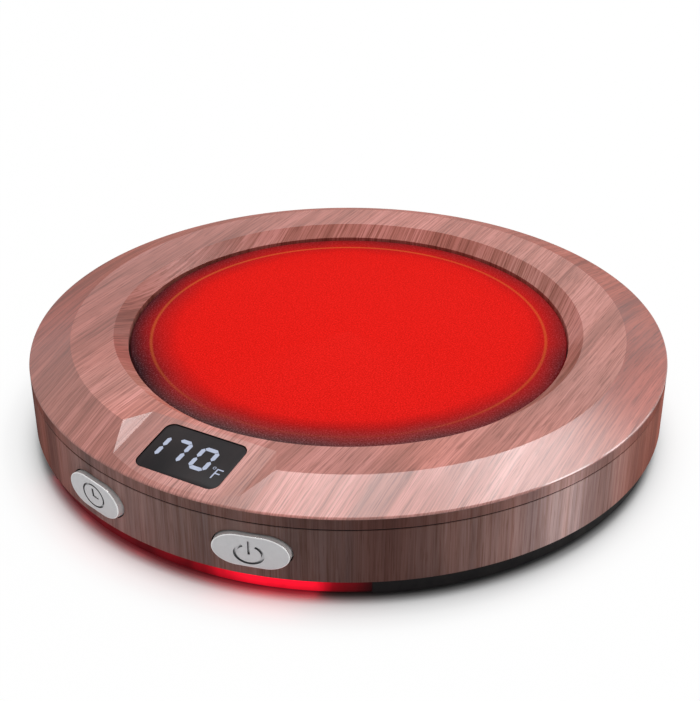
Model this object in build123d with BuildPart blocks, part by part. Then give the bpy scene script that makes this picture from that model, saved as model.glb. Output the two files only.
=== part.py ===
# Electric mug warmer: a round wood-grain housing with a recessed heating plate on top, a tilted
# display pad and two push buttons on its side wall, and a red night light in the base band.
#
# Millimetres and degrees. +Z is up, the feet stand on z = 0, and the Z axis runs through the
# centre of the plate. The display faces -Y, and the cord would enter from +Y.

from build123d import *
import os
from math import cos, radians, sin

os.makedirs("parts", exist_ok=True)

# ---- Outer form, from the plate's recess outwards and from the feet upwards -----------------
recess_radius = 52.2  # wall of the plate's recess
lip_width = 3.2  # sloped lip round the recess
ring_width = 9.9  # flat ring round the lip
slope_width = 9.7  # cone from the flat ring down to the side wall
foot_height = 1.2  # how far the feet stand out of the base
base_band = 3.7  # black band under the side wall
base_inset = 1.3  # how far that band stands back from the side wall
ring_height = 12.7  # side wall below the parting line
parting_gap = 0.2
skirt_height = 2.7  # side wall above the parting line, part of the top cover
crown_rise = 3.63  # from the top of the side wall to the flat ring
lip_drop = 2.6  # from the flat ring down to the recess's edge

# ---- Shells ----------------------------------------------------------------------------------
cover_wall = 2.2
fit_gap = 0.3  # between shells that nest
base_lip_height = 1.5  # the base's lip inside the side wall
base_lip_width = 1.5
floor_thickness = 2.0
screw_gap = 0.1  # round screws and studs in their holes

# ---- Display pad: a plane that cuts the crown, with a facet on each side ---------------------
pad_setback = 1.3  # from the lip to the place where the pad leaves the flat ring
pad_tilt = 10.6
pad_half_width = 15.45
facet_angle = 31.0  # between the pad's side and the facet's upper edge, seen from above
valley_round = 1.2
pad_wall = 2.6  # cover thickness under the pad
pad_skin = 0.5  # depth at which the thickened wall starts
pad_backing_width = 35.0
pad_backing_length = 16.4

window_offset = 8.15  # window centre, measured down the pad
window_width = 20.3
window_length = 13.74
window_corner = 2.2
window_ledge = 1.1
lens_recess = 0.15
lens_thickness = 1.2
lens_gap = 0.2

# ---- Display electronics, on a board parallel to the pad -------------------------------------
module_width = 17.4
module_length = 10.0
module_height = 4.0
module_gap = 0.2  # under the lens
display_board_thickness = 1.2
display_board_width = 28.0
display_board_neck = 18.8
display_board_top = 8.0  # from the window's centre towards the plate
display_board_bottom = 5.3  # from the window's centre towards the wall
display_post_x = 11.7
display_post_y = 5.6
display_post = 3.2  # square posts under the pad that carry the board
chip_width = 7.5
chip_length = 4.0
chip_height = 1.4
chip_offset = 4.0  # from the window's centre towards the plate

# ---- Stakes: square pins on posts and ribs, through square holes in the boards ----------------
stake = 1.6
stake_gap = 0.1
stake_head = 0.6  # how far a stake stands out of its board

# ---- Heating plate and what is held under it --------------------------------------------------
plate_gap = 0.4  # between the plate's edge and its recess
plate_drop = 3.13  # plate surface below the flat ring
plate_thickness = 2.6
ledge_thickness = 1.6
ledge_width = 5.0
heater_length = 46.0
heater_width = 30.0
heater_thickness = 3.0
tab_length = 6.0  # the heater's two contact tabs
tab_width = 3.2
tab_thickness = 0.5
tab_offset = 16.0  # each side of the centre
insulation_thickness = 1.0
insulation_margin = 1.0  # round the heater
clamp_thickness = 1.2
clamp_width = 14.0
clamp_bearing = 3.6  # how far the clamp's ends lie under the ledge
clamp_slope = 4.0
clamp_margin = 1.5  # flat middle of the clamp past the nuts
stud_radius = 1.5
stud_clearance = 1.6  # between the insulation's end and the studs
stud_tail = 0.6  # stud end below its nut
nut_across_flats = 5.5
nut_height = 2.4
thermostat_length = 20.0
thermostat_width = 7.5
thermostat_thickness = 3.5
thermostat_gap = 2.75  # from the heater
fuse_radius = 2.2
fuse_length = 11.0
fuse_lead_size = 1.0
fuse_lead = 5.0
fuse_gap = 1.1  # between the heater and the fuse's clip
clip_thickness = 0.6
clip_width = 6.0
clip_ear = 3.0

# ---- Push buttons in the side wall -------------------------------------------------------------
button_angle = 14.8  # each side of the display's axis
button_height = 11.7  # centre above the floor
button_width = 16.4
button_tall = 7.15
button_proud = 1.5  # past the side wall
button_edge = 0.5
button_travel = 0.8
button_gap = 0.3  # round the button in its opening
button_wall = 1.4
flange_width = 0.9
flange_thickness = 1.2
flange_seat = 0.1
stem_size = 3.4
stem_length = 2.2  # behind the flange
plunger_size = 3.0
plunger_fit = 0.08
plunger_proud = 1.5
plunger_inside = 1.3
switch_size = 6.0
switch_depth = 3.5
switch_cavity = 2.6
switch_board_width = 18.0
switch_board_height = 10.2
switch_board_drop = 1.5
switch_board_thickness = 1.2
switch_stake_offset = 6.6
rib_thickness = 1.8  # ribs on the floor that carry the switch boards
rib_half = 10.0
rib_height = 11.6

# ---- Night light in the base band ----------------------------------------------------------------
guide_half_angle = 33.0
guide_wall = 3.4
guide_flange = 1.7
guide_end_gap = 0.25  # degrees at each end
led_board_width = 5.3
led_board_thickness = 0.8
led_gap = 0.3
led_count = 5
led_pitch = 12.0
led_width = 3.0
led_depth = 1.6
led_height = 0.8

# ---- Housing screws at the back, hooks at the front, and feet --------------------------------------
screw_azimuths = (22, 158)
post_inset = 8.8  # from the side wall's inner face to the centre of each post
post_size = 7.0
post_bottom = 6.0
post_bore_depth = 12.0
boss_size = 9.0
screw_radius = 1.25
screw_length = 9.0
screw_head_radius = 2.8
screw_head = 1.8
screw_sink = 0.6  # head below the base's underside
hook_azimuths = (-45, -135)
hook_inset = 8.0  # from the side wall's inner face to the hook's arm
hook_width = 8.0
hook_arm = 1.6
hook_barb = 1.2
hook_overlap = 2.4  # height of the barb
hook_level = 8.2  # where the barb catches
catch_thickness = 1.6
foot_radius = 5.0
foot_inset = 11.7  # from the band to the centre of each foot
foot_count = 4
vent_count = 12
vent_inner = 16.0
vent_outer = 30.0
vent_width = 2.4

# ---- Main board at the back --------------------------------------------------------------------------
board_clearance = 3.0  # between the board and the base's lip
board_front = 34.0
board_thickness = 1.6
board_post = 5.0  # square posts on the floor that carry the board
board_post_height = 2.8
board_post_x = 44.0
board_post_back_x = 20.0
board_post_inset = 5.0  # from the board's edges
transformer_azimuth = 57.0
transformer_width = 16.0
transformer_depth = 12.0
transformer_height = 11.0
winding_width = 10.4
winding_height = 8.8
core_depth = 6.5
capacitor_azimuth = 116.0
capacitor_radius = 5.0
capacitor_height = 11.5
triac_azimuth = 136.0
triac_width = 10.0
triac_body = 9.0
triac_legs = 3.0
triac_leg_pitch = 2.5
triac_thickness = 4.4
triac_tab = 1.2
terminal_inset = 4.0  # from the board's edge
terminal_width = 10.0
terminal_depth = 8.0
terminal_height = 9.0
terminal_slot = 2.6
line_fuse_radius = 4.2
line_fuse_height = 5.2
line_fuse_x = 14.0
display_plug_x = 14.0
heater_plug_x = 30.0
connector_width = 8.0
connector_depth = 5.0
connector_height = 5.0
connector_wall = 0.8
front_parts_inset = 8.0  # line fuse and connectors, from the board's straight edge

# ---- Cord entry ------------------------------------------------------------------------------------
cord_radius = 2.3  # bore of the grommet
grommet_neck_radius = 3.5
grommet_outer_flange = 4.8
grommet_flange_thickness = 1.0
grommet_tail = 1.2  # how far the neck stands into the housing
grommet_gap = 0.1

# ---- Levels and radii that follow --------------------------------------------------------------------
rim_radius = recess_radius + lip_width
crown_radius = rim_radius + ring_width
outer_radius = crown_radius + slope_width
base_radius = outer_radius - base_inset
inner_radius = outer_radius - cover_wall
lip_radius = inner_radius - fit_gap
floor_radius = lip_radius - base_lip_width

base_bottom = foot_height
ring_bottom = base_bottom + base_band
ring_top = ring_bottom + ring_height
skirt_bottom = ring_top + parting_gap
arris = skirt_bottom + skirt_height
ridge = arris + crown_rise
floor_top = base_bottom + floor_thickness
lip_top = ring_bottom + base_lip_height

recess_edge = ridge - lip_drop
plate_top = ridge - plate_drop
plate_bottom = plate_top - plate_thickness
plate_radius = recess_radius - plate_gap
ledge_bottom = plate_bottom - ledge_thickness
ledge_radius = recess_radius - ledge_width
well_radius = recess_radius + cover_wall

heater_bottom = plate_bottom - heater_thickness
insulation_bottom = heater_bottom - insulation_thickness
clamp_bottom = insulation_bottom - clamp_thickness
insulation_half = heater_length / 2 + insulation_margin
stud_x = insulation_half + stud_clearance + stud_radius
nut_bottom = clamp_bottom - nut_height

board_radius = floor_radius - board_clearance
board_bottom = floor_top + board_post_height
board_top = board_bottom + board_thickness
parts_circle = (well_radius + board_radius) / 2  # the tall components stand on this circle
post_circle = inner_radius - post_inset

# Distances out along each button's own axis. The flange seats on the curved inner wall.
flange_half = button_width / 2 + flange_width
flange_front = (inner_radius**2 - flange_half**2) ** 0.5 - flange_seat
button_face = outer_radius + button_proud
flange_back = flange_front - flange_thickness
stem_end = flange_back - stem_length
switch_front = stem_end - plunger_proud
switch_back = switch_front - switch_depth
rib_face = switch_back - switch_board_thickness
rib_back = rib_face - rib_thickness

display_board_depth = lens_recess + lens_thickness + module_gap + module_height
display_azimuth = -90.0
button_azimuths = {
    "power": display_azimuth + button_angle,
    "timer": display_azimuth - button_angle,
}


# ---- Planes and shapes used more than once -----------------------------------------------------------
def polar(radius, azimuth):
    """The point at a radius and an azimuth."""
    return (radius * cos(radians(azimuth)), radius * sin(radians(azimuth)))


def upright_plane(azimuth, height=0.0):
    """Upright plane across an azimuth, its normal pointing out and its local Y up."""
    outward = Vector(1, 0, 0).rotate(Axis.Z, azimuth)
    sideways = Vector(0, 1, 0).rotate(Axis.Z, azimuth)
    return Plane(origin=(0, 0, height), x_dir=sideways, z_dir=outward)


def section_plane(azimuth):
    """Upright plane along an azimuth: its local X is the radius and its local Y the height."""
    outward = Vector(1, 0, 0).rotate(Axis.Z, azimuth)
    return Plane(origin=(0, 0, 0), x_dir=outward, z_dir=outward.cross(Vector(0, 0, 1)))


def ring_sector(inner, outer, azimuth, half_angle):
    """A flat piece of a ring, between two radii and on both sides of an azimuth."""
    with BuildSketch() as sector:
        with BuildLine():
            start = azimuth - half_angle
            CenterArc((0, 0), outer, start, 2 * half_angle)
            CenterArc((0, 0), inner, start, 2 * half_angle)
            Line(polar(inner, start), polar(outer, start))
            Line(polar(inner, start + 2 * half_angle), polar(outer, start + 2 * half_angle))
        make_face()
    return sector.sketch


pad_start = rim_radius + pad_setback
pad_normal = Vector(0, 0, 1).rotate(Axis.X, pad_tilt)
pad_plane = Plane(origin=(0, -pad_start, ridge), x_dir=(1, 0, 0), z_dir=pad_normal)
window_plane = Plane(
    origin=pad_plane.from_local_coords((0, -window_offset, 0)), x_dir=(1, 0, 0), z_dir=pad_normal
)
display_posts = ((-display_post_x, display_post_y), (display_post_x, display_post_y))


def facet_plane(side):
    """The plane of the facet on one side of the pad, its normal pointing up."""
    valley = -pad_plane.y_dir
    shoulder = Vector(side * sin(radians(facet_angle)), -cos(radians(facet_angle)), 0)
    normal = valley.cross(shoulder) * side
    return Plane(origin=(side * pad_half_width, -pad_start, ridge), z_dir=normal)


# ---- Top cover ------------------------------------------------------------------------------------
# What the pad and its facets cut from the crown.
with BuildPart() as pad_cut:
    with Locations((0, -outer_radius, ridge)):
        Box(2 * outer_radius, 2 * outer_radius, 2 * crown_rise + 2 * cover_wall)
    split(bisect_by=pad_plane, keep=Keep.TOP)
    split(bisect_by=facet_plane(1), keep=Keep.TOP)
    split(bisect_by=facet_plane(-1), keep=Keep.TOP)
    valleys = pad_cut.edges().filter_by(Axis((0, 0, 0), pad_plane.y_dir))
    fillet(valleys.filter_by(lambda e: abs(e.center().X) < 1.05 * pad_half_width), valley_round)

# The thickened wall under the pad.
with BuildPart() as pad_backing:
    with BuildSketch(window_plane.offset(-pad_skin)):
        Rectangle(pad_backing_width, pad_backing_length)
    extrude(amount=pad_skin - pad_wall)
    with Locations((0, 0, ridge)):
        Cylinder(outer_radius - cover_wall / 2, 2 * outer_radius, mode=Mode.INTERSECT)

crown_slope = crown_rise / slope_width
ceiling = ridge - cover_wall
ceiling_radius = crown_radius - cover_wall * crown_slope / 2
ceiling_edge = ceiling - (inner_radius - ceiling_radius) * crown_slope
post_top = ceiling + cover_wall / 3
hook_radius = inner_radius - hook_inset

with BuildPart() as top_cover:
    with BuildSketch(Plane.XZ):
        with BuildLine():
            Polyline(
                (outer_radius, skirt_bottom),
                (outer_radius, arris),
                (crown_radius, ridge),
                (rim_radius, ridge),
                (recess_radius, recess_edge),
                (recess_radius, plate_bottom),
                (ledge_radius, plate_bottom),
                (ledge_radius, ledge_bottom),
                (well_radius, ledge_bottom),
                (well_radius, ceiling),
                (ceiling_radius, ceiling),
                (inner_radius, ceiling_edge),
                (inner_radius, skirt_bottom),
                close=True,
            )
        make_face()
    revolve(axis=Axis.Z)
    add(pad_backing.part)
    add(pad_cut.part, mode=Mode.SUBTRACT)
    # The window's seat and its opening.
    with BuildSketch(window_plane):
        RectangleRounded(window_width, window_length, window_corner)
    extrude(amount=-(lens_recess + lens_thickness), mode=Mode.SUBTRACT)
    with BuildSketch(window_plane):
        Rectangle(window_width - 2 * window_ledge, window_length - 2 * window_ledge)
    extrude(amount=-2 * pad_wall, mode=Mode.SUBTRACT)
    # Posts with stakes for the display board.
    with BuildSketch(window_plane.offset(-display_board_depth)):
        with Locations(*display_posts):
            Rectangle(display_post, display_post)
    extrude(amount=display_board_depth - pad_wall + pad_skin)
    with BuildSketch(window_plane.offset(-display_board_depth)):
        with Locations(*display_posts):
            Rectangle(stake, stake)
    extrude(amount=-(display_board_thickness + stake_head))
    # Screw posts down to the base's bosses.
    with BuildSketch(Plane.XY.offset(post_bottom)):
        for azimuth in screw_azimuths:
            with PolarLocations(post_circle, 1, azimuth):
                Rectangle(post_size, post_size)
    extrude(amount=post_top - post_bottom)
    with BuildSketch(Plane.XY.offset(post_bottom)):
        with Locations(*[polar(post_circle, a) for a in screw_azimuths]):
            Circle(screw_radius + screw_gap)
    extrude(amount=post_bore_depth, mode=Mode.SUBTRACT)
    # Hooked arms at the front.
    for azimuth in hook_azimuths:
        with BuildSketch(section_plane(azimuth)):
            with BuildLine():
                Polyline(
                    (hook_radius, post_top),
                    (hook_radius, hook_level),
                    (hook_radius + hook_barb, hook_level),
                    (hook_radius, hook_level - hook_overlap),
                    (hook_radius - hook_arm, hook_level - hook_overlap),
                    (hook_radius - hook_arm, post_top),
                    close=True,
                )
            make_face()
        extrude(amount=hook_width / 2, both=True)
top_cover.part.label = "top_cover"
export_step(top_cover.part, "parts/top_cover.step")

# ---- Side wall ring -------------------------------------------------------------------------------
grommet_height = (ring_bottom + ring_top) / 2

with BuildPart() as body_ring:
    with BuildSketch(Plane.XY.offset(ring_bottom)):
        Circle(outer_radius)
        Circle(inner_radius, mode=Mode.SUBTRACT)
    extrude(amount=ring_height)
    for azimuth in button_azimuths.values():
        with BuildSketch(upright_plane(azimuth, button_height).offset(inner_radius - cover_wall)):
            SlotOverall(button_width + 2 * button_gap, button_tall + 2 * button_gap)
        extrude(amount=3 * cover_wall, mode=Mode.SUBTRACT)
    with BuildSketch(upright_plane(-display_azimuth, grommet_height).offset(inner_radius - cover_wall)):
        Circle(grommet_neck_radius + grommet_gap)
    extrude(amount=3 * cover_wall, mode=Mode.SUBTRACT)
body_ring.part.label = "body_ring"
export_step(body_ring.part, "parts/body_ring.step")

# ---- Base cover -----------------------------------------------------------------------------------
guide_inner = base_radius - guide_wall
board_post_y = board_front + board_post_inset
board_post_back_y = (board_radius**2 - board_post_back_x**2) ** 0.5 - board_post_inset
board_posts = (
    (-board_post_x, board_post_y),
    (board_post_x, board_post_y),
    (-board_post_back_x, board_post_back_y),
    (board_post_back_x, board_post_back_y),
)


def leaf_point(side, out, along):
    """A point that lies out along a button's axis and sideways from it, away from the display."""
    azimuth = radians(display_azimuth + side * button_angle)
    return (
        out * cos(azimuth) - side * along * sin(azimuth),
        out * sin(azimuth) + side * along * cos(azimuth),
    )


with BuildPart() as base_cover:
    with BuildSketch(Plane.XZ):
        with BuildLine():
            Polyline(
                (0, base_bottom),
                (base_radius, base_bottom),
                (base_radius, ring_bottom),
                (lip_radius, ring_bottom),
                (lip_radius, lip_top),
                (floor_radius, lip_top),
                (floor_radius, floor_top),
                (0, floor_top),
                close=True,
            )
        make_face()
    revolve(axis=Axis.Z)
    # Notch for the light guide.
    with BuildSketch(Plane.XY):
        add(ring_sector(guide_inner, outer_radius, display_azimuth, guide_half_angle + guide_end_gap))
    extrude(amount=lip_top + base_lip_height, mode=Mode.SUBTRACT)
    # Bosses for the housing screws, with their heads sunk from below.
    with BuildSketch(Plane.XY.offset(base_bottom)):
        for azimuth in screw_azimuths:
            with PolarLocations(post_circle, 1, azimuth):
                Rectangle(boss_size, boss_size)
    extrude(amount=post_bottom - base_bottom)
    with BuildSketch(Plane.XY.offset(base_bottom)):
        with Locations(*[polar(post_circle, a) for a in screw_azimuths]):
            Circle(screw_radius + screw_gap)
    extrude(amount=post_bottom - base_bottom, mode=Mode.SUBTRACT)
    with BuildSketch(Plane.XY.offset(base_bottom)):
        with Locations(*[polar(post_circle, a) for a in screw_azimuths]):
            Circle(screw_head_radius + screw_gap)
    extrude(amount=screw_sink + screw_head, mode=Mode.SUBTRACT)
    # Catches for the cover's hooks.
    catch_face = hook_radius + hook_barb + fit_gap
    catch_level = hook_level + screw_gap
    for azimuth in hook_azimuths:
        with BuildSketch(section_plane(azimuth)):
            with BuildLine():
                Polyline(
                    (catch_face, floor_top),
                    (catch_face, catch_level),
                    (hook_radius + fit_gap, catch_level),
                    (hook_radius + fit_gap, catch_level + catch_thickness),
                    (catch_face + catch_thickness, catch_level + catch_thickness),
                    (catch_face + catch_thickness, floor_top),
                    close=True,
                )
            make_face()
        extrude(amount=hook_width / 2, both=True)
    # Posts with stakes for the main board.
    with BuildSketch(Plane.XY.offset(floor_top)):
        with Locations(*board_posts):
            Rectangle(board_post, board_post)
    extrude(amount=board_post_height)
    with BuildSketch(Plane.XY.offset(board_bottom)):
        with Locations(*board_posts):
            Rectangle(stake, stake)
    extrude(amount=board_thickness + stake_head)
    # Two ribs that meet on the display's axis carry the switch boards, on stakes.
    with BuildSketch(Plane.XY.offset(floor_top)):
        with BuildLine():
            Polyline(
                leaf_point(-1, rib_back, rib_half),
                (0, -rib_back / cos(radians(button_angle))),
                leaf_point(1, rib_back, rib_half),
                leaf_point(1, rib_face, rib_half),
                (0, -rib_face / cos(radians(button_angle))),
                leaf_point(-1, rib_face, rib_half),
                close=True,
            )
        make_face()
    extrude(amount=rib_height)
    for azimuth in button_azimuths.values():
        with BuildSketch(upright_plane(azimuth, button_height).offset(rib_face)):
            with Locations((-switch_stake_offset, 0), (switch_stake_offset, 0)):
                Rectangle(stake, stake)
        extrude(amount=switch_board_thickness + stake_head)
    # Vents under the plate.
    with BuildSketch(Plane.XY.offset(base_bottom)):
        with PolarLocations((vent_inner + vent_outer) / 2, vent_count):
            Rectangle(vent_outer - vent_inner, vent_width)
    extrude(amount=floor_thickness, mode=Mode.SUBTRACT)
base_cover.part.label = "base_cover"
export_step(base_cover.part, "parts/base_cover.step")

# ---- Night light ------------------------------------------------------------------------------------
with BuildPart() as light_guide:
    with BuildSketch(section_plane(display_azimuth - guide_half_angle)):
        with BuildLine():
            Polyline(
                (guide_inner, base_bottom),
                (base_radius, base_bottom),
                (base_radius, ring_bottom),
                (guide_inner - guide_flange, ring_bottom),
                (guide_inner - guide_flange, floor_top),
                (guide_inner, floor_top),
                close=True,
            )
        make_face()
    revolve(axis=Axis.Z, revolution_arc=2 * guide_half_angle)
light_guide.part.label = "light_guide"
export_step(light_guide.part, "parts/light_guide.step")

# The LED board lies between the guide's flange and the corner where the ribs meet.
led_board_outer = guide_inner - guide_flange - led_gap
led_board_inner = rib_face / cos(radians(button_angle)) + led_gap
led_board_top = floor_top + led_board_thickness

with BuildPart() as led_board:
    with BuildSketch(Plane.XY.offset(floor_top)):
        add(ring_sector(led_board_inner, led_board_outer, display_azimuth, guide_half_angle))
    extrude(amount=led_board_thickness)
led_board.part.label = "led_board"
export_step(led_board.part, "parts/led_board.step")

with BuildPart() as glow_leds:
    with BuildSketch(Plane.XY.offset(led_board_top)):
        first_led = display_azimuth - led_pitch * (led_count - 1) / 2
        with PolarLocations(
            led_board_outer - led_depth / 2, led_count, first_led, led_pitch * led_count
        ):
            Rectangle(led_depth, led_width)
    extrude(amount=led_height)
glow_leds.part.label = "glow_leds"
export_step(glow_leds.part, "parts/glow_leds.step")

# ---- Feet and housing screws ------------------------------------------------------------------------
with BuildPart() as rubber_feet:
    with BuildSketch(Plane.XY):
        with PolarLocations(base_radius - foot_inset, foot_count, start_angle=45):
            Circle(foot_radius)
    extrude(amount=foot_height)
rubber_feet.part.label = "rubber_feet"
export_step(rubber_feet.part, "parts/rubber_feet.step")

screw_seat = base_bottom + screw_sink + screw_head

with BuildPart() as housing_screws:
    with BuildSketch(Plane.XY.offset(screw_seat)):
        with Locations(*[polar(post_circle, a) for a in screw_azimuths]):
            Circle(screw_radius)
    extrude(amount=screw_length)
    with BuildSketch(Plane.XY.offset(screw_seat)):
        with Locations(*[polar(post_circle, a) for a in screw_azimuths]):
            Circle(screw_head_radius)
    extrude(amount=-screw_head)
housing_screws.part.label = "housing_screws"
export_step(housing_screws.part, "parts/housing_screws.step")

# ---- Heating plate and what is held under it ----------------------------------------------------------
with BuildPart() as heating_plate:
    with BuildSketch(Plane.XY.offset(plate_bottom)):
        Circle(plate_radius)
    extrude(amount=plate_thickness)
heating_plate.part.label = "heating_plate"
export_step(heating_plate.part, "parts/heating_plate.step")

with BuildPart() as heating_element:
    with BuildSketch(Plane.XY.offset(heater_bottom)):
        Rectangle(heater_length, heater_width)
    extrude(amount=heater_thickness)
    with BuildSketch(Plane.XY.offset(heater_bottom + (heater_thickness - tab_thickness) / 2)):
        with Locations(
            (-tab_offset, (heater_width + tab_length) / 2), (tab_offset, (heater_width + tab_length) / 2)
        ):
            Rectangle(tab_width, tab_length)
    extrude(amount=tab_thickness)
heating_element.part.label = "heating_element"
export_step(heating_element.part, "parts/heating_element.step")

with BuildPart() as insulation_sheet:
    with BuildSketch(Plane.XY.offset(insulation_bottom)):
        Rectangle(2 * insulation_half, heater_width + 2 * insulation_margin)
    extrude(amount=insulation_thickness)
insulation_sheet.part.label = "insulation_sheet"
export_step(insulation_sheet.part, "parts/insulation_sheet.step")

# A joggled bar: its middle presses the heater to the plate, its ends pull against the ledge.
clamp_flat = stud_x + nut_across_flats / 2 + clamp_margin
clamp_end = ledge_radius + clamp_bearing

with BuildPart() as clamp_bar:
    with BuildSketch(Plane.XZ):
        with BuildLine():
            Polyline(
                (0, clamp_bottom),
                (clamp_flat, clamp_bottom),
                (clamp_flat + clamp_slope, ledge_bottom - clamp_thickness),
                (clamp_end, ledge_bottom - clamp_thickness),
                (clamp_end, ledge_bottom),
                (clamp_flat + clamp_slope, ledge_bottom),
                (clamp_flat, insulation_bottom),
                (0, insulation_bottom),
                close=True,
            )
        make_face()
        mirror(about=Plane.YZ)
    extrude(amount=clamp_width / 2, both=True)
    with BuildSketch(Plane.XY.offset(clamp_bottom)):
        with Locations((-stud_x, 0), (stud_x, 0)):
            Circle(stud_radius + screw_gap)
    extrude(amount=clamp_thickness, mode=Mode.SUBTRACT)
clamp_bar.part.label = "clamp_bar"
export_step(clamp_bar.part, "parts/clamp_bar.step")

with BuildPart() as plate_studs:
    with BuildSketch(Plane.XY.offset(plate_bottom)):
        with Locations((-stud_x, 0), (stud_x, 0)):
            Circle(stud_radius)
    extrude(amount=nut_bottom - stud_tail - plate_bottom)
plate_studs.part.label = "plate_studs"
export_step(plate_studs.part, "parts/plate_studs.step")

with BuildPart() as clamp_nuts:
    with BuildSketch(Plane.XY.offset(nut_bottom)):
        with Locations((-stud_x, 0), (stud_x, 0)):
            RegularPolygon(nut_across_flats / 2, 6, major_radius=False)
            Circle(stud_radius + screw_gap, mode=Mode.SUBTRACT)
    extrude(amount=nut_height)
clamp_nuts.part.label = "clamp_nuts"
export_step(clamp_nuts.part, "parts/clamp_nuts.step")

with BuildPart() as thermostat:
    with BuildSketch(Plane.XY.offset(plate_bottom)):
        with Locations((0, heater_width / 2 + thermostat_gap + thermostat_width / 2)):
            Rectangle(thermostat_length, thermostat_width)
    extrude(amount=-thermostat_thickness)
thermostat.part.label = "thermostat"
export_step(thermostat.part, "parts/thermostat.step")

# The thermal fuse lies along X under the plate, in a clip.
clip_inner = fuse_radius + screw_gap
clip_outer = clip_inner + clip_thickness
clip_reach = clip_outer + clip_ear
clip_depth = fuse_radius + clip_inner
fuse_plane = Plane(
    origin=(0, -(heater_width / 2 + fuse_gap + clip_reach), plate_bottom - fuse_radius),
    x_dir=(0, 1, 0),
    z_dir=(1, 0, 0),
)

with BuildPart() as thermal_fuse:
    with BuildSketch(fuse_plane):
        Circle(fuse_radius)
    extrude(amount=fuse_length / 2, both=True)
    with BuildSketch(fuse_plane):
        Rectangle(fuse_lead_size, fuse_lead_size)
    extrude(amount=fuse_length / 2 + fuse_lead, both=True)
thermal_fuse.part.label = "thermal_fuse"
export_step(thermal_fuse.part, "parts/thermal_fuse.step")

with BuildPart() as fuse_clip:
    with BuildSketch(fuse_plane.shift_origin(fuse_plane.from_local_coords((0, fuse_radius)))):
        with BuildLine():
            Polyline(
                (0, -clip_depth),
                (clip_inner, -clip_depth),
                (clip_inner, 0),
                (clip_reach, 0),
                (clip_reach, -clip_thickness),
                (clip_outer, -clip_thickness),
                (clip_outer, -clip_depth - clip_thickness),
                (0, -clip_depth - clip_thickness),
                close=True,
            )
        make_face()
        mirror(about=Plane.YZ)
    extrude(amount=clip_width / 2, both=True)
fuse_clip.part.label = "fuse_clip"
export_step(fuse_clip.part, "parts/fuse_clip.step")

# ---- Display ----------------------------------------------------------------------------------------
with BuildPart() as display_window:
    with BuildSketch(window_plane.offset(-lens_recess)):
        RectangleRounded(
            window_width - 2 * lens_gap, window_length - 2 * lens_gap, window_corner - lens_gap
        )
    extrude(amount=-lens_thickness)
display_window.part.label = "display_window"
export_step(display_window.part, "parts/display_window.step")

with BuildPart() as display_module:
    with BuildSketch(window_plane.offset(-display_board_depth)):
        Rectangle(module_width, module_length)
    extrude(amount=module_height)
display_module.part.label = "display_module"
export_step(display_module.part, "parts/display_module.step")

with BuildPart() as display_board:
    with BuildSketch(window_plane.offset(-display_board_depth)):
        with Locations((0, display_board_top / 2)):
            Rectangle(display_board_width, display_board_top)
        with Locations((0, -display_board_bottom / 2)):
            Rectangle(display_board_neck, display_board_bottom)
        with Locations(*display_posts):
            Rectangle(stake + 2 * stake_gap, stake + 2 * stake_gap, mode=Mode.SUBTRACT)
    extrude(amount=-display_board_thickness)
display_board.part.label = "display_board"
export_step(display_board.part, "parts/display_board.step")

with BuildPart() as control_chip:
    with BuildSketch(window_plane.offset(-(display_board_depth + display_board_thickness))):
        with Locations((0, chip_offset)):
            Rectangle(chip_width, chip_length)
    extrude(amount=-chip_height)
control_chip.part.label = "control_chip"
export_step(control_chip.part, "parts/control_chip.step")

# ---- Buttons and their switches -----------------------------------------------------------------------
for button, azimuth in button_azimuths.items():
    axis_plane = upright_plane(azimuth, button_height)

    with BuildPart() as cap:
        with BuildSketch(axis_plane.offset(flange_back)):
            SlotOverall(button_width + 2 * flange_width, button_tall + 2 * flange_width)
        extrude(amount=flange_thickness)
        with BuildSketch(axis_plane.offset(flange_back)):
            SlotOverall(button_width, button_tall)
        extrude(amount=button_face - flange_back)
        front_edges = cap.faces().sort_by(Axis((0, 0, 0), axis_plane.z_dir))[-1].edges()
        chamfer(front_edges, button_edge)
        with BuildSketch(axis_plane.offset(flange_back)):
            Rectangle(button_width - button_tall, button_tall - 2 * button_wall)
        extrude(amount=button_face - flange_back - button_wall, mode=Mode.SUBTRACT)
        with BuildSketch(axis_plane.offset(stem_end)):
            Rectangle(stem_size, stem_size)
        extrude(amount=button_face - stem_end - button_wall)
    cap.part.label = button + "_button"
    export_step(cap.part, "parts/" + button + "_button.step")

    with BuildPart() as plunger:
        with BuildSketch(axis_plane.offset(switch_front - plunger_inside)):
            Rectangle(plunger_size, plunger_size)
        extrude(amount=plunger_proud + plunger_inside)
    plunger.part.label = button + "_plunger"
    export_step(plunger.part, "parts/" + button + "_plunger.step")

    with BuildPart() as switch:
        with BuildSketch(axis_plane.offset(switch_back)):
            Rectangle(switch_size, switch_size)
        extrude(amount=switch_depth)
        with BuildSketch(axis_plane.offset(switch_front)):
            Rectangle(plunger_size + 2 * plunger_fit, plunger_size + 2 * plunger_fit)
        extrude(amount=-switch_cavity, mode=Mode.SUBTRACT)
    switch.part.label = button + "_switch"
    export_step(switch.part, "parts/" + button + "_switch.step")

with BuildPart() as switch_boards:
    for azimuth in button_azimuths.values():
        with BuildSketch(upright_plane(azimuth, button_height).offset(rib_face)):
            with Locations((0, -switch_board_drop)):
                Rectangle(switch_board_width, switch_board_height)
            with Locations((-switch_stake_offset, 0), (switch_stake_offset, 0)):
                Rectangle(stake + 2 * stake_gap, stake + 2 * stake_gap, mode=Mode.SUBTRACT)
        extrude(amount=switch_board_thickness)
switch_boards.part.label = "switch_boards"
export_step(switch_boards.part, "parts/switch_boards.step")

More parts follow.
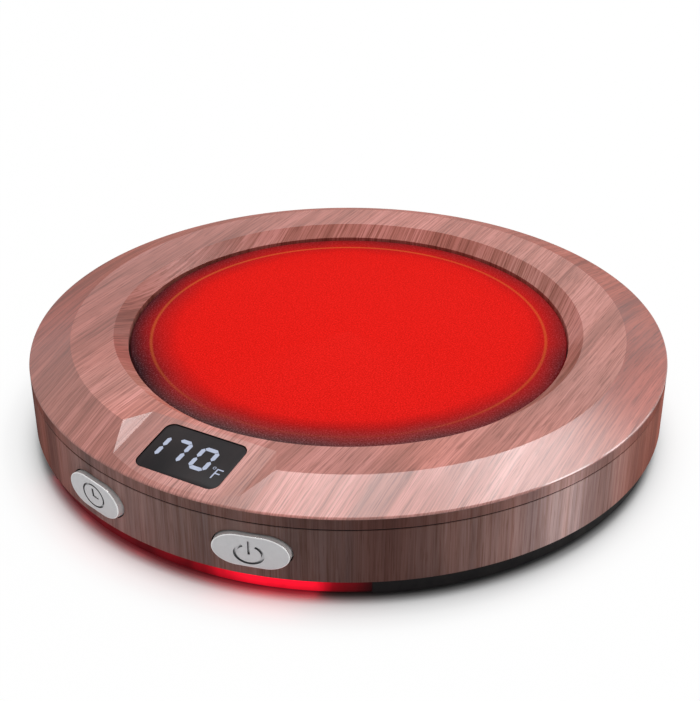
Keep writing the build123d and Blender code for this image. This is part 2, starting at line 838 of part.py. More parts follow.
# ---- Main board and its components -------------------------------------------------------------------
with BuildPart() as main_board:
    with BuildSketch(Plane.XY.offset(board_bottom)):
        Circle(board_radius)
        with Locations((0, board_front + board_radius / 2)):
            Rectangle(2 * board_radius, board_radius, mode=Mode.INTERSECT)
        with Locations(*board_posts):
            Rectangle(stake + 2 * stake_gap, stake + 2 * stake_gap, mode=Mode.SUBTRACT)
    extrude(amount=board_thickness)
main_board.part.label = "main_board"
export_step(main_board.part, "parts/main_board.step")

# A ferrite core with the winding through it.
with BuildPart() as transformer:
    with BuildSketch(Plane.XY.offset(board_top)):
        with PolarLocations(parts_circle, 1, transformer_azimuth):
            Rectangle(core_depth, transformer_width)
    extrude(amount=transformer_height)
    with BuildSketch(Plane.XY.offset(board_top)):
        with PolarLocations(parts_circle, 1, transformer_azimuth):
            Rectangle(transformer_depth, winding_width)
    extrude(amount=winding_height)
transformer.part.label = "transformer"
export_step(transformer.part, "parts/transformer.step")

with BuildPart() as filter_capacitor:
    with BuildSketch(Plane.XY.offset(board_top)):
        with Locations(polar(parts_circle, capacitor_azimuth)):
            Circle(capacitor_radius)
    extrude(amount=capacitor_height)
filter_capacitor.part.label = "filter_capacitor"
export_step(filter_capacitor.part, "parts/filter_capacitor.step")

# The switch of the heater: a flat package on three legs, with its metal tab.
with BuildPart() as heater_triac:
    triac_plane = upright_plane(triac_azimuth, board_top).offset(parts_circle)
    with BuildSketch(triac_plane):
        with Locations((0, triac_legs + triac_body / 2)):
            Rectangle(triac_width, triac_body)
        for leg in (-1, 0, 1):
            with Locations((leg * triac_leg_pitch, triac_legs / 2)):
                Rectangle(triac_tab, triac_legs)
    extrude(amount=triac_tab)
    with BuildSketch(triac_plane):
        with Locations((0, triac_legs + triac_body / 2)):
            Rectangle(triac_width, triac_body)
    extrude(amount=triac_tab - triac_thickness)
heater_triac.part.label = "heater_triac"
export_step(heater_triac.part, "parts/heater_triac.step")

terminal_y = board_radius - terminal_inset - terminal_depth / 2
terminal_poles = (-terminal_width / 4, terminal_width / 4)

with BuildPart() as mains_terminal:
    with BuildSketch(Plane.XY.offset(board_top)):
        with Locations((0, terminal_y)):
            Rectangle(terminal_width, terminal_depth)
    extrude(amount=terminal_height)
    with BuildSketch(Plane.XY.offset(board_top + terminal_height)):
        with Locations(*[(x, terminal_y) for x in terminal_poles]):
            Rectangle(terminal_slot, terminal_slot)
    extrude(amount=-terminal_height / 3, mode=Mode.SUBTRACT)
    with BuildSketch(Plane.XZ.offset(-(terminal_y + terminal_depth / 2))):
        with Locations(*[(x, board_top + terminal_height / 3) for x in terminal_poles]):
            Rectangle(terminal_slot, terminal_slot)
    extrude(amount=terminal_depth / 2, mode=Mode.SUBTRACT)
mains_terminal.part.label = "mains_terminal"
export_step(mains_terminal.part, "parts/mains_terminal.step")

front_parts_y = board_front + front_parts_inset

with BuildPart() as line_fuse:
    with BuildSketch(Plane.XY.offset(board_top)):
        with Locations((-line_fuse_x, front_parts_y)):
            Circle(line_fuse_radius)
    extrude(amount=line_fuse_height)
line_fuse.part.label = "line_fuse"
export_step(line_fuse.part, "parts/line_fuse.step")

connector_places = ((display_plug_x, front_parts_y), (-heater_plug_x, front_parts_y))

with BuildPart() as board_connectors:
    with BuildSketch(Plane.XY.offset(board_top)):
        with Locations(*connector_places):
            Rectangle(connector_width, connector_depth)
    extrude(amount=connector_height)
    with BuildSketch(Plane.XY.offset(board_top + connector_height)):
        with Locations(*connector_places):
            Rectangle(connector_width - 2 * connector_wall, connector_depth - 2 * connector_wall)
    extrude(amount=-connector_height + connector_wall, mode=Mode.SUBTRACT)
board_connectors.part.label = "board_connectors"
export_step(board_connectors.part, "parts/board_connectors.step")

# ---- Cord grommet -----------------------------------------------------------------------------------
with BuildPart() as cord_grommet:
    grommet_plane = upright_plane(-display_azimuth, grommet_height)
    with BuildSketch(grommet_plane.offset(outer_radius)):
        Circle(grommet_outer_flange)
    extrude(amount=grommet_flange_thickness)
    with BuildSketch(grommet_plane.offset(inner_radius - grommet_tail)):
        Circle(grommet_neck_radius)
    extrude(amount=outer_radius - inner_radius + grommet_tail)
    with BuildSketch(grommet_plane.offset(inner_radius - 2 * cover_wall)):
        Circle(cord_radius)
    extrude(amount=4 * cover_wall, mode=Mode.SUBTRACT)
cord_grommet.part.label = "cord_grommet"
export_step(cord_grommet.part, "parts/cord_grommet.step")
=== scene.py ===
# %% [markdown]
# # Electric mug warmer
# A round wood-grain housing 150 mm across. A black heating plate sits in a recess on top, a small
# display looks out of a tilted pad at the front, two silver push buttons stand in the side wall,
# and a red night light shines from the band under it. Most pieces start as a profile that is spun
# round the Z axis, and the openings are cut afterwards, in the order a mould maker would think of.

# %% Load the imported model
import math

import bmesh
import bpy
from mathutils import Matrix, Vector


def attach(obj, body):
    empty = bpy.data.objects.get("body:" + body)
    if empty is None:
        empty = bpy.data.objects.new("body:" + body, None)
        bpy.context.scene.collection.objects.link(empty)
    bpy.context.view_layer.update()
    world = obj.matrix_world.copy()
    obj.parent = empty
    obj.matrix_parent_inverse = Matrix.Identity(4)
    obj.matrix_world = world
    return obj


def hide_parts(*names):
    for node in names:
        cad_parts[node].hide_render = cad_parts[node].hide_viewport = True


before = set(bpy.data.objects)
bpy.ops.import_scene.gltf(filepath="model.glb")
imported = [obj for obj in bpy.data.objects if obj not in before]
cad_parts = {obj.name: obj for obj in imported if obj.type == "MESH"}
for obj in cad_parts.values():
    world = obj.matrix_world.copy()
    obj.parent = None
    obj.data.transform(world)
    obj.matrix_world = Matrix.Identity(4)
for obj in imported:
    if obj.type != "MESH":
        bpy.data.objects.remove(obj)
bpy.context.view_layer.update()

MM = 0.001

# %% [markdown]
# ## The camera
# The camera comes first, because every later choice is judged through it. It looks down at the
# warmer from its front right at about thirty degrees. Aiming it at a point is easier to read than
# typing angles: a track quaternion turns its own -Z axis at that point and keeps its Y axis up.

# %% Place and aim the camera
def add_object(name, data):
    """A new object, linked to the scene."""
    thing = bpy.data.objects.new(name, data)
    bpy.context.scene.collection.objects.link(thing)
    return thing


camera = add_object("camera", bpy.data.cameras.new("camera"))
bpy.context.scene.camera = camera
camera.data.sensor_width = 36.0
camera.data.lens = 70.426
camera.data.clip_end = 20.0
camera.location = Vector((142.51, -251.169, 177.475)) * MM
camera_aim = Vector((4.709, -7.580, 20.5)) * MM
camera.rotation_euler = (camera_aim - camera.location).to_track_quat("-Z", "Y").to_euler()
print("camera stands", round((camera_aim - camera.location).length / MM), "mm from its aim")

# %% [markdown]
# ## Sizes
# The pieces stand where the parts of the model stand, so their sizes repeat the part's own
# measures, in millimetres. Each radius and level has one name, and every profile uses it.

# %% Radii, levels and planes
outer_radius, inner_radius, band_radius = 75.0, 72.8, 73.7
crown_radius, rim_radius, recess_radius = 65.3, 55.4, 52.2
ledge_radius, well_radius, plate_radius = 47.2, 54.4, 51.8
base_bottom, ring_bottom, ring_top, skirt_bottom = 1.2, 4.9, 17.6, 17.8
arris, ridge, recess_edge, plate_top = 20.5, 24.13, 21.53, 21.0
ledge_top, ledge_bottom, ceiling = 18.4, 16.8, 21.93
pad_start, pad_tilt, pad_half_width = 56.7, math.radians(10.6), 15.45
facet_turn = math.radians(31.0)
button_turn, button_level, button_face = 14.8, 11.3, 75.9
button_width, button_height = 16.4, 7.5
cord_level = 11.25
weld = 1e-7  # metres: corners closer than this are one


def plane_matrix(origin, across, out):
    """The place of a flat drawing: its X lies along `across`, its Z along `out`, in millimetres."""
    out, across = Vector(out).normalized(), Vector(across).normalized()
    up = out.cross(across)
    turn = Matrix((across, up, out)).transposed().to_4x4()
    return Matrix.Translation(Vector(origin) * MM) @ turn


pad_normal = Vector((0, -math.sin(pad_tilt), math.cos(pad_tilt)))
pad_down = Vector((0, -math.cos(pad_tilt), -math.sin(pad_tilt)))
pad_origin = Vector((0, -pad_start, ridge))
window_origin = pad_origin + 8.15 * pad_down
window_place = plane_matrix(window_origin, (1, 0, 0), pad_normal)


def facet_normal(side):
    """The upward normal of the facet on one side of the pad."""
    shoulder = Vector((side * math.sin(facet_turn), -math.cos(facet_turn), 0))
    return (pad_down.cross(shoulder) * side).normalized()


def button_place(side, out=0.0):
    """A plane square to one button's axis: X runs to the right, Y up and Z out of the wall."""
    azimuth = math.radians(-90 + side * button_turn)
    outward = Vector((math.cos(azimuth), math.sin(azimuth), 0))
    across = Vector((0, 0, 1)).cross(outward)
    return plane_matrix(outward * out + Vector((0, 0, button_level)), across, outward)


print("window centre, mm:", [round(c, 2) for c in window_origin])

# %% [markdown]
# ## Three ways to make a shape
# A turned piece is a profile spun round an axis. The spin merges its last copy with its first, so
# the skin closes without a seam. A flat piece is an outline that is extruded: a circle whose
# quarters are moved apart gives a rounded rectangle, or a stadium. Where one shape cuts another,
# the Boolean modifier does it, and its result is taken as a new mesh, so no cutter stays.

# %% Turn, extrude and carve
def face_out(bm):
    """Turns every face of a closed shape outwards."""
    bmesh.ops.recalc_face_normals(bm, faces=bm.faces)


def spin(bm, geometry, angle, steps, merge=False):
    """Turns geometry round Z and leaves a skin behind; `merge` joins its two ends."""
    bmesh.ops.spin(bm, geom=geometry, cent=(0, 0, 0), axis=(0, 0, 1), angle=angle, steps=steps,
                   use_merge=merge)


def turned(profile, segments=256, closed=True):
    """A bmesh of a profile of (radius, height) points in millimetres, spun once round Z."""
    bm = bmesh.new()
    rail = [bm.verts.new((r * MM, 0, z * MM)) for r, z in profile]
    ends = rail[1:] + rail[:1] if closed else rail[1:]
    wire = [bm.edges.new(pair) for pair in zip(rail, ends)]
    spin(bm, rail + wire, math.tau, segments, merge=True)
    bmesh.ops.remove_doubles(bm, verts=bm.verts, dist=weld)
    face_out(bm)
    return bm


def move(bm, geometry, way):
    """Moves the vertices in a list of bmesh elements, in metres."""
    verts = [g for g in geometry if isinstance(g, bmesh.types.BMVert)]
    bmesh.ops.translate(bm, verts=verts, vec=way)


def rounded_outline(width, height, corner, stretch=1.0, segments=64):
    """A flat face with rounded corners, centred, in millimetres; `stretch` lengthens its ends."""
    bm = bmesh.new()
    bmesh.ops.create_circle(bm, cap_ends=True, segments=segments, radius=corner * MM)
    bmesh.ops.scale(bm, vec=(stretch, 1, 1), verts=bm.verts)
    for axis, spread in ((0, width / 2 - corner * stretch), (1, height / 2 - corner)):
        for side in (-1, 1):
            way = Vector((0, 0, 0))
            way[axis] = side * spread * MM
            move(bm, [v for v in bm.verts if v.co[axis] * side > weld], way)
    return bm


def raise_faces(bm, faces, height):
    """Extrudes faces along Z by a height in millimetres and returns the new faces."""
    grown = bmesh.ops.extrude_face_region(bm, geom=faces)["geom"]
    move(bm, grown, (0, 0, height * MM))
    return [g for g in grown if isinstance(g, bmesh.types.BMFace)]


def bevel(bm, edges, width, segments=2):
    """Rounds edges by a width in millimetres; the new faces keep their neighbours' finish."""
    return bmesh.ops.bevel(bm, geom=edges, affect="EDGES", offset=width * MM, segments=segments,
                           profile=0.5, material=-1)["faces"]


def lay(bm, place):
    """Moves a whole shape to its place, given as a matrix, and returns it."""
    bmesh.ops.transform(bm, matrix=place, verts=bm.verts)
    return bm


def slab(outline, height, place):
    """Raises a whole flat drawing by a height in millimetres and lays it in its place."""
    raise_faces(outline, outline.faces[:], height)
    return lay(outline, place)


def block(size, place):
    """A box of a size in millimetres, laid in its place."""
    bm = bmesh.new()
    bmesh.ops.create_cube(bm, size=1.0)
    bmesh.ops.scale(bm, vec=Vector(size) * MM, verts=bm.verts)
    return lay(bm, place)


def carve(piece, tool, operation="DIFFERENCE"):
    """Bakes a Boolean of one bmesh with another and returns the result as a bmesh."""
    most_finishes = 6
    pair = []
    for name, bm in (("piece", piece), ("tool", tool)):
        face_out(bm)
        mesh = bpy.data.meshes.new(name)
        for _ in range(most_finishes):
            mesh.materials.append(None)
        bm.to_mesh(mesh)
        bm.free()
        pair.append(add_object(name, mesh))
    cut = pair[0].modifiers.new("cut", "BOOLEAN")
    cut.object, cut.operation, cut.solver = pair[1], operation, "EXACT"
    settled = pair[0].evaluated_get(bpy.context.evaluated_depsgraph_get())
    baked = bpy.data.meshes.new_from_object(settled)
    result = bmesh.new()
    result.from_mesh(baked)
    for mesh in [baked] + [o.data for o in pair]:
        bpy.data.meshes.remove(mesh)
    return result


def finish_piece(name, bm, finishes, stands_for, body="housing", crease=30.0):
    """Makes an object of a bmesh: smooth inside its creases, riding on a body, finished."""
    mesh = bpy.data.meshes.new(name)
    bm.to_mesh(mesh)
    bm.free()
    for finish in finishes:
        mesh.materials.append(finish)
    mesh.polygons.foreach_set("use_smooth", [True] * len(mesh.polygons))
    mesh.set_sharp_from_angle(angle=math.radians(crease))
    piece = add_object(name, mesh)
    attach(piece, body)
    if stands_for:
        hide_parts(*stands_for)
    print(name, "has", len(mesh.polygons), "faces")


# %% [markdown]
# ## How the finishes are made
# No finish here is a single colour. Each one reads the object's own coordinates, in metres, and
# lets noise of a real size vary the colour, the roughness and a little relief. Noise that is
# squeezed along one direction turns into grain or brushed lines. Each helper adds one step to a
# finish and finds the node tree through the sockets it is given.

# %% Helpers for node materials
def start_finish(name):
    """A new material, its shader and its object coordinates."""
    finish = bpy.data.materials.new(name)
    finish.use_nodes = True
    nodes = finish.node_tree.nodes
    return finish, nodes["Principled BSDF"], nodes.new("ShaderNodeTexCoord").outputs["Object"]


def fill(node, values):
    """Fills inputs: a socket is linked; a number, a colour tuple or a vector list is set."""
    for name, value in values.items():
        socket = node.inputs[name]
        if isinstance(value, bpy.types.NodeSocket):
            node.id_data.links.new(value, socket)
        else:
            socket.default_value = (*value, 1) if isinstance(value, tuple) else value
    return node


def add_node(kind, values, like=None, **options):
    """A new node in the tree of its first linked input, or of the socket or node `like`."""
    linked = like or next(v for v in values.values() if isinstance(v, bpy.types.NodeSocket))
    node = linked.id_data.nodes.new("ShaderNode" + kind)
    for name, value in options.items():
        setattr(node, name, value)
    return fill(node, values)


def add_noise(vector, scale, squeeze=(1, 1, 1), detail=2.0, roughness=0.5):
    """Noise with `scale` waves to the metre, squeezed along any axis."""
    mapping = add_node("Mapping", {"Vector": vector, "Scale": list(squeeze)})
    return add_node("TexNoise", {
        "Vector": mapping.outputs[0], "Scale": scale, "Detail": detail, "Roughness": roughness,
    }).outputs["Fac"]


def add_ramp(value, stops, smooth=False):
    """A colour ramp: stops are (position, colour), a colour being a grey or three parts."""
    node = add_node("ValToRGB", {"Fac": value})
    node.color_ramp.interpolation = "EASE" if smooth else "LINEAR"
    elements = node.color_ramp.elements
    while len(elements) < len(stops):
        elements.new(0.5)
    for element, (position, colour) in zip(elements, stops):
        element.position = position
        red, green, blue = (colour,) * 3 if isinstance(colour, (int, float)) else colour
        element.color = (red, green, blue, 1)
    return node.outputs["Color"]


def add_mix(one, two, factor, blend="MIX"):
    """Mixes two colours; either may be a socket or a plain colour, and so may the factor."""
    values = {0: factor, 6: one, 7: two}
    return add_node("Mix", values, data_type="RGBA", blend_type=blend).outputs[2]


def multiply(one, two, factor=1.0):
    """One colour times another."""
    return add_mix(one, two, factor, "MULTIPLY")


def add_math(operation, one, two=0.0):
    """One sum of two numbers or sockets."""
    return add_node("Math", {0: one, 1: two}, operation=operation).outputs[0]


def add_relief(shader, height, depth, strength=1.0):
    """Lets a grey pattern stand `depth` millimetres out of the surface."""
    bump = add_node("Bump", {"Strength": strength, "Distance": depth * MM, "Height": height})
    fill(shader, {"Normal": bump.outputs["Normal"]})


def split(vector):
    """The outputs X, Y and Z of a vector."""
    return add_node("SeparateXYZ", {0: vector}).outputs


def radius_of(coordinates):
    """A socket of the distance from the Z axis, in metres."""
    x, y, _ = split(coordinates)
    squares = [add_math("MULTIPLY", length, length) for length in (x, y)]
    return add_math("SQRT", add_math("ADD", *squares))


def turn_of(coordinates, sweep=math.tau):
    """A socket that grows from 0 to 1 through a sweep round the Z axis, 0.5 being the front."""
    x, y, _ = split(coordinates)
    azimuth = add_math("ARCTAN2", x, add_math("MULTIPLY", y, -1.0))
    return add_math("ADD", add_math("MULTIPLY", azimuth, 1 / sweep), 0.5)


def part_of(length, start, reach):
    """A length less `start`, as a part of `reach`; both in millimetres."""
    if start:
        length = add_math("SUBTRACT", length, start * MM)
    return add_math("DIVIDE", length, reach * MM)


# %% [markdown]
# ## Wood print
# The shell is moulded plastic with a printed film of a reddish brown timber under a satin lacquer.
# On top the grain runs straight from front to back, whatever the slope, and on the side wall it
# stands upright. A picture of wood would not fit the slopes without a seam, so four noises are
# squeezed along the grain: for the dark and salmon boards, the streaks, the fibres and the pores. A
# slow noise bends the grain first, which makes the streaks swell and swirl. The ring, the cone, the
# lip and the arris each take a finish of their own, with its own run of tones round the warmer.
# These runs are painted light and shade, and the side wall's run also holds the print's own tone
# from board to board and a painted reflection.

# %% The wood finishes
def stretched(along, amount):
    """Squeeze factors that draw a noise out along one axis."""
    return [amount if axis == along else 1.0 for axis in range(3)]


def wood_finish(name, along, tones, bend, gloss, contrast):
    """Printed wood whose grain runs along axis number `along`; tones go from dark to light."""
    finish, shader, coordinates = start_finish(name)
    # A slow noise moves the grain sideways by up to `bend` metres.
    draw = add_node("Mapping", {"Vector": coordinates, "Scale": stretched(along, 0.4)})
    slow = add_node("TexNoise", {"Vector": draw.outputs[0], "Scale": 16.0, "Detail": 4.0})
    moved = add_node("VectorMath", {
        0: slow.outputs["Color"], 1: [bend, bend, 0.0], 2: coordinates,
    }, operation="MULTIPLY_ADD")

    def layer(scale, stretch, detail, roughness):
        squeeze = stretched(along, stretch)
        if along == 1:
            squeeze[2] = 0.0  # the top's grain takes no notice of the slopes
        return add_noise(moved.outputs[0], scale, squeeze, detail, roughness)

    broad = layer(115.0, 0.06, 4.0, 0.6)
    streaks = layer(520.0, 0.03, 4.0, 0.65)
    fibres = layer(2000.0, 0.012, 2.0, 0.75)
    pores = layer(2900.0, 0.045, 2.0, 0.6)
    colour = add_ramp(broad, list(zip((0.36, 0.5, 0.64), tones)))
    for pattern, share, stops in (
        (streaks, contrast[0], [(0.34, (0.8, 0.71, 0.66)), (0.5, 1.0), (0.66, (1.13, 1.2, 1.25))]),
        (fibres, contrast[1],
         [(0.37, (0.68, 0.56, 0.49)), (0.48, 0.96), (0.6, (1.16, 1.25, 1.31))]),
        (pores, contrast[1], [(0.36, (0.62, 0.5, 0.42)), (0.47, 1.0)]),
    ):
        colour = multiply(colour, add_ramp(pattern, stops), share)
    # A satin lacquer shines where one looks at it squarely and goes dull at a grazing angle.
    facing = add_node("LayerWeight", {"Blend": 0.5}, shader).outputs["Facing"]
    grazing = add_ramp(facing, [(0.58, 0.0), (0.82, 1.0)])
    satin = add_ramp(streaks, [(0.35, 0.36), (0.65, 0.29)])
    fill(shader, {
        "Roughness": add_mix(satin, (0.9, 0.9, 0.9), grazing), "Specular IOR Level": gloss,
    })
    add_relief(shader, fibres, 0.006, 0.5)
    return finish, shader, coordinates, colour


def top_finish(name, gloss, painted_light, lacquer=None):
    """One surface of the top's print, with painted light and shade and lacquer roughness by turn.
    """
    tones = (0.31, 0.088, 0.061), (0.44, 0.14, 0.107), (0.545, 0.19, 0.157)
    finish, shader, coordinates, colour = wood_finish(name, 1, tones, 0.004, gloss, (0.85, 0.88))
    turn = turn_of(coordinates)
    # The run by turn paints light and shade into the print's colour.
    fill(shader, {"Base Color": multiply(colour, add_ramp(turn, painted_light, smooth=True))})
    if lacquer:
        fill(shader, {"Roughness": add_ramp(turn, lacquer), "IOR": 1.6})
    return finish


# Painted light and shade round the cone: lighter just right of the front, darker on the left and at
# the back right.
cone_painted_light = [
    (0.0, (0.6, 0.5, 0.45)), (0.25, (0.5, 0.36, 0.28)), (0.33, (0.6, 0.37, 0.3)),
    (0.417, (0.76, 0.77, 0.74)), (0.465, 0.92), (0.535, (0.97, 1.08, 1.08)), (0.55, 1.1),
    (0.6, 0.96), (0.67, (0.9, 0.88, 0.87)), (0.71, (0.81, 0.66, 0.6)), (0.755, (0.68, 0.43, 0.35)),
    (0.8, (0.58, 0.32, 0.23)), (0.85, (0.52, 0.28, 0.18)), (0.917, (0.59, 0.46, 0.39)),
    (1.0, (0.6, 0.5, 0.45)),
]
# The ring's run by turn is painted light and shade.
wood_top = top_finish("wood_top", 0.62, [
    (0.0, 0.9), (0.25, (0.69, 0.66, 0.65)), (0.333, (0.78, 0.72, 0.71)), (0.375, (0.9, 0.87, 0.86)),
    (0.417, (0.97, 1.08, 1.11)), (0.458, 1.19), (0.54, 0.88), (0.585, 0.8), (0.625, 1.12),
    (0.67, (1.0, 1.05, 1.06)), (0.75, (0.84, 0.95, 0.97)), (0.8, (0.97, 1.08, 1.11)),
    (0.917, (0.9, 0.99, 0.99)), (1.0, 0.9),
])
wood_cone = top_finish("wood_cone", 0.78, cone_painted_light)
# The lip's run by turn is painted light and shade: painted shade in the recess, darkest at the
# front left.
wood_lip = top_finish("wood_lip", 0.3, [
    (0.0, 1.0), (0.25, (0.87, 0.98, 1.05)), (0.333, (0.62, 0.55, 0.53)),
    (0.375, (0.62, 0.45, 0.43)), (0.417, (0.82, 0.98, 0.99)), (0.458, 1.12), (0.5, 0.8),
    (0.65, 0.72), (0.71, (0.78, 0.88, 0.9)), (0.75, (0.79, 1.03, 1.1)), (0.79, (0.82, 0.82, 0.8)),
    (0.83, 0.95), (0.917, (1.0, 1.25, 1.3)), (1.0, 1.0),
])
# The arris takes the cone's painted light and shade.
# The lacquer lies thick and glossy on the arris to the right.
wood_edge = top_finish(
    "wood_edge", 1.0, cone_painted_light, [(0.56, 0.65), (0.62, 0.12), (0.76, 0.12), (0.84, 0.65)])

# Painted light and shade by turn on the side wall, with the print's own tone from board to board:
# darker at the front, warmer to its right, and a pale painted reflection at the right.
wood_side, shader, coordinates, colour = wood_finish(
    "wood_side", 2, ((0.145, 0.07, 0.059), (0.2, 0.094, 0.077), (0.27, 0.126, 0.103)), 0.002, 0.08,
    (0.55, 0.48))
boards_and_painted_light = add_ramp(turn_of(coordinates), [
    (0.0, (0.9, 0.6, 0.55)), (0.292, (0.49, 0.13, 0.1)), (0.35, (0.59, 0.34, 0.3)),
    (0.375, (0.31, 0.18, 0.15)), (0.403, (1.15, 0.9, 0.86)), (0.486, (1.22, 1.5, 1.62)),
    (0.514, (1.07, 1.38, 1.48)), (0.569, (0.82, 1.0, 1.07)), (0.597, (0.68, 0.64, 0.64)),
    (0.625, (0.87, 0.99, 1.04)), (0.653, (1.7, 2.07, 2.23)), (0.681, (2.9, 4.1, 4.7)),
    (0.708, (1.7, 1.9, 2.0)), (0.736, (1.3, 1.0, 0.91)), (0.82, (1.52, 0.81, 0.65)),
    (1.0, (0.9, 0.6, 0.55)),
], smooth=True)
# The skirt over the parting line is a shade darker than the wall under it.
level = part_of(split(coordinates)["Z"], 0, 25)
storey = add_ramp(level, [(0.7, 1.0), (0.712, (0.87, 0.76, 0.74))])
fill(shader, {"Base Color": multiply(multiply(colour, boards_and_painted_light), storey)})
print("wood finishes:", [m.name for m in bpy.data.materials if m.name.startswith("wood")])

# %% [markdown]
# ## Simple finishes
# The other parts are moulded plastic, rubber, plated metal, boards and components. One helper
# serves them all: two tones mixed by a noise of a real size, a roughness that varies with it,
# and a fine relief such as the spark-eroded texture of a mould.

# %% Mottled finishes
def mottled(name, dark, light, scale, rough, relief, metal=0.0, squeeze=(1, 1, 1), fine=6.0,
            gloss=0.5):
    """A finish of two tones: `scale` waves to the metre, with a relief `fine` times finer."""
    finish, shader, coordinates = start_finish(name)
    cloud = add_noise(coordinates, scale, squeeze, detail=4.0, roughness=0.6)
    fill(shader, {
        "Base Color": add_ramp(cloud, [(0.3, dark), (0.7, light)]),
        "Roughness": add_ramp(cloud, [(0.3, rough[1]), (0.7, rough[0])]),
        "Metallic": metal, "Specular IOR Level": gloss,
    })
    add_relief(shader, add_noise(coordinates, scale * fine, squeeze), relief)
    return finish


black_plastic = mottled("black_plastic", (0.004, 0.003, 0.004), (0.01, 0.008, 0.008), 260,
                        (0.5, 0.66), 0.02, gloss=0.15)
rubber = mottled("rubber", (0.012,) * 3, (0.028, 0.027, 0.026), 400, (0.7, 0.88), 0.03)
steel = mottled(
    "steel", (0.42, 0.42, 0.44), (0.62, 0.62, 0.63), 500, (0.25, 0.42), 0.004, 1.0, (1, 1, 0.3))
print("simple finishes:", black_plastic.name, rubber.name, steel.name)

# %% [markdown]
# ## The crown
# The crown is a short upright skirt, a cone, a flat ring, and a sloped lip down to the plate's
# recess. At the front a tilted pad for the display cuts into the cone, and a small facet on each
# side leads back up to the ring. The round part is spun. Then the top is cut along every line where
# the pad or a facet will leave it, and each corner is let down onto the higher of those planes.
# That gives exact flat facets, where a Boolean would leave slivers along the curved edge.

# %% Turn the crown and fold the pad into it
crown_slope = (ridge - arris) / (outer_radius - crown_radius)
inner_edge = ceiling - (inner_radius - crown_radius) * crown_slope
crown = turned([
    (outer_radius, skirt_bottom), (outer_radius, arris), (crown_radius, ridge), (rim_radius, ridge),
    (recess_radius, recess_edge), (recess_radius, ledge_top), (ledge_radius, ledge_top),
    (ledge_radius, ledge_bottom), (well_radius, ledge_bottom), (well_radius, ceiling),
    (crown_radius, ceiling), (inner_radius, inner_edge), (inner_radius, skirt_bottom),
])


def on_top(face):
    """Whether a face belongs to the crown's visible top."""
    middle = face.calc_center_median()
    outside = middle.z > (recess_edge - 1.5) * MM and middle.xy.length > recess_radius * MM
    return face.normal.z > 0.3 and outside


def plane_height(place, origin, normal):
    """Height of a plane over a place, in metres."""
    offset = place.xy - origin.xy * MM
    return origin.z * MM - (normal.x * offset.x + normal.y * offset.y) / normal.z


folds, sides = [(pad_origin, pad_normal)], []
for side in (1, -1):
    folds.append((Vector((side * pad_half_width, -pad_start, ridge)), facet_normal(side)))
    sides.append((Vector((side * pad_half_width, 0, 0)), Vector((1, 0, 0))))
for point, normal in folds + sides:
    top = [f for f in crown.faces if on_top(f) and f.calc_center_median().y < -30 * MM]
    parts = top + [e for f in top for e in f.edges] + [v for f in top for v in f.verts]
    bmesh.ops.bisect_plane(crown, geom=list(dict.fromkeys(parts)), dist=weld,
                           plane_co=point * MM, plane_no=normal)

lowered = 0
for vert in {v for f in crown.faces if on_top(f) for v in f.verts}:
    folded = max(plane_height(vert.co, point, normal) for point, normal in folds)
    if vert.co.y < 0 and vert.co.z > folded + 1e-8:
        vert.co.z = folded
        lowered += 1
print("corners let down onto the pad and its facets:", lowered)

# %% [markdown]
# ## The window's seat
# The display window lies in a shallow pocket in the pad. The wall is only two millimetres thick
# there, so a real cover is thickened from below, and the pocket and the opening are cut into that,
# here as three Boolean steps. Then every face is told which finish it wears.

# %% Thicken, pocket and open the pad
window_width, window_length, window_corner = 20.3, 13.74, 2.2
lens_recess, lens_thickness, lens_gap = 0.15, 1.2, 0.2
ledge_span, clear = 2.2, 1.0  # what the ledge takes off the opening; how far a cutter stands out
for width, length, corner, low, high in (
    (26.0, 15.6, 1.0, -2.6, -0.5),
    (window_width, window_length, window_corner, -lens_recess - lens_thickness, clear),
    (window_width - ledge_span, window_length - ledge_span, 1.0, -4.0, clear),
):
    tool = rounded_outline(width, length, corner)
    raise_faces(tool, tool.faces[:], high - low)
    move(tool, tool.verts, (0, 0, low * MM))
    crown = carve(crown, lay(tool, window_place), "DIFFERENCE" if high == clear else "UNION")


def on_circle(vert, level):
    """Whether a corner lies on the outermost circle at a level in millimetres."""
    return (abs(vert.co.z - level * MM) < 2e-6
            and abs(vert.co.xy.length - outer_radius * MM) < 3e-5)


# Two edges are broken to catch the light: the arris and the skirt's lower edge.
for level, width in ((arris, 0.3), (skirt_bottom, 0.12)):
    ring = [e for e in crown.edges if all(on_circle(v, level) for v in e.verts)]
    bevel(crown, ring, width)
    print("bevelled", len(ring), "edges at", level)
# The print covers the outside only, and the skirt has the side's print.
TOP, SIDE, BARE, EDGE, CONE, LIP = range(6)
for face in crown.faces:
    middle = face.calc_center_median()
    face.normal_update()
    up, level, reach = face.normal.z, middle.z / MM, middle.xy.length / MM
    if reach > outer_radius - 0.3:
        face.material_index = SIDE if abs(up) < 0.2 or level < 19 else EDGE
    elif reach < rim_radius and up > 0.3 and level > recess_edge:
        face.material_index = LIP
    elif 0.5 < up < 0.995 and level > arris - 2:
        face.material_index = CONE
    elif up < -0.2 or level < 18.5 or (abs(up) < 0.35 and reach > recess_radius + 0.1):
        face.material_index = BARE
finish_piece("wood_crown", crown,
             [wood_top, wood_side, black_plastic, wood_edge, wood_cone, wood_lip], ["top_cover"],
             crease=6.0)

# %% [markdown]
# ## The side wall
# Under the fine parting line stands the side wall, a plain ring with two openings for the buttons
# and a round hole at the back for the cord. Its edges are broken by a tenth of a millimetre,
# because a moulded edge is never perfectly sharp, and that is what draws the parting line.

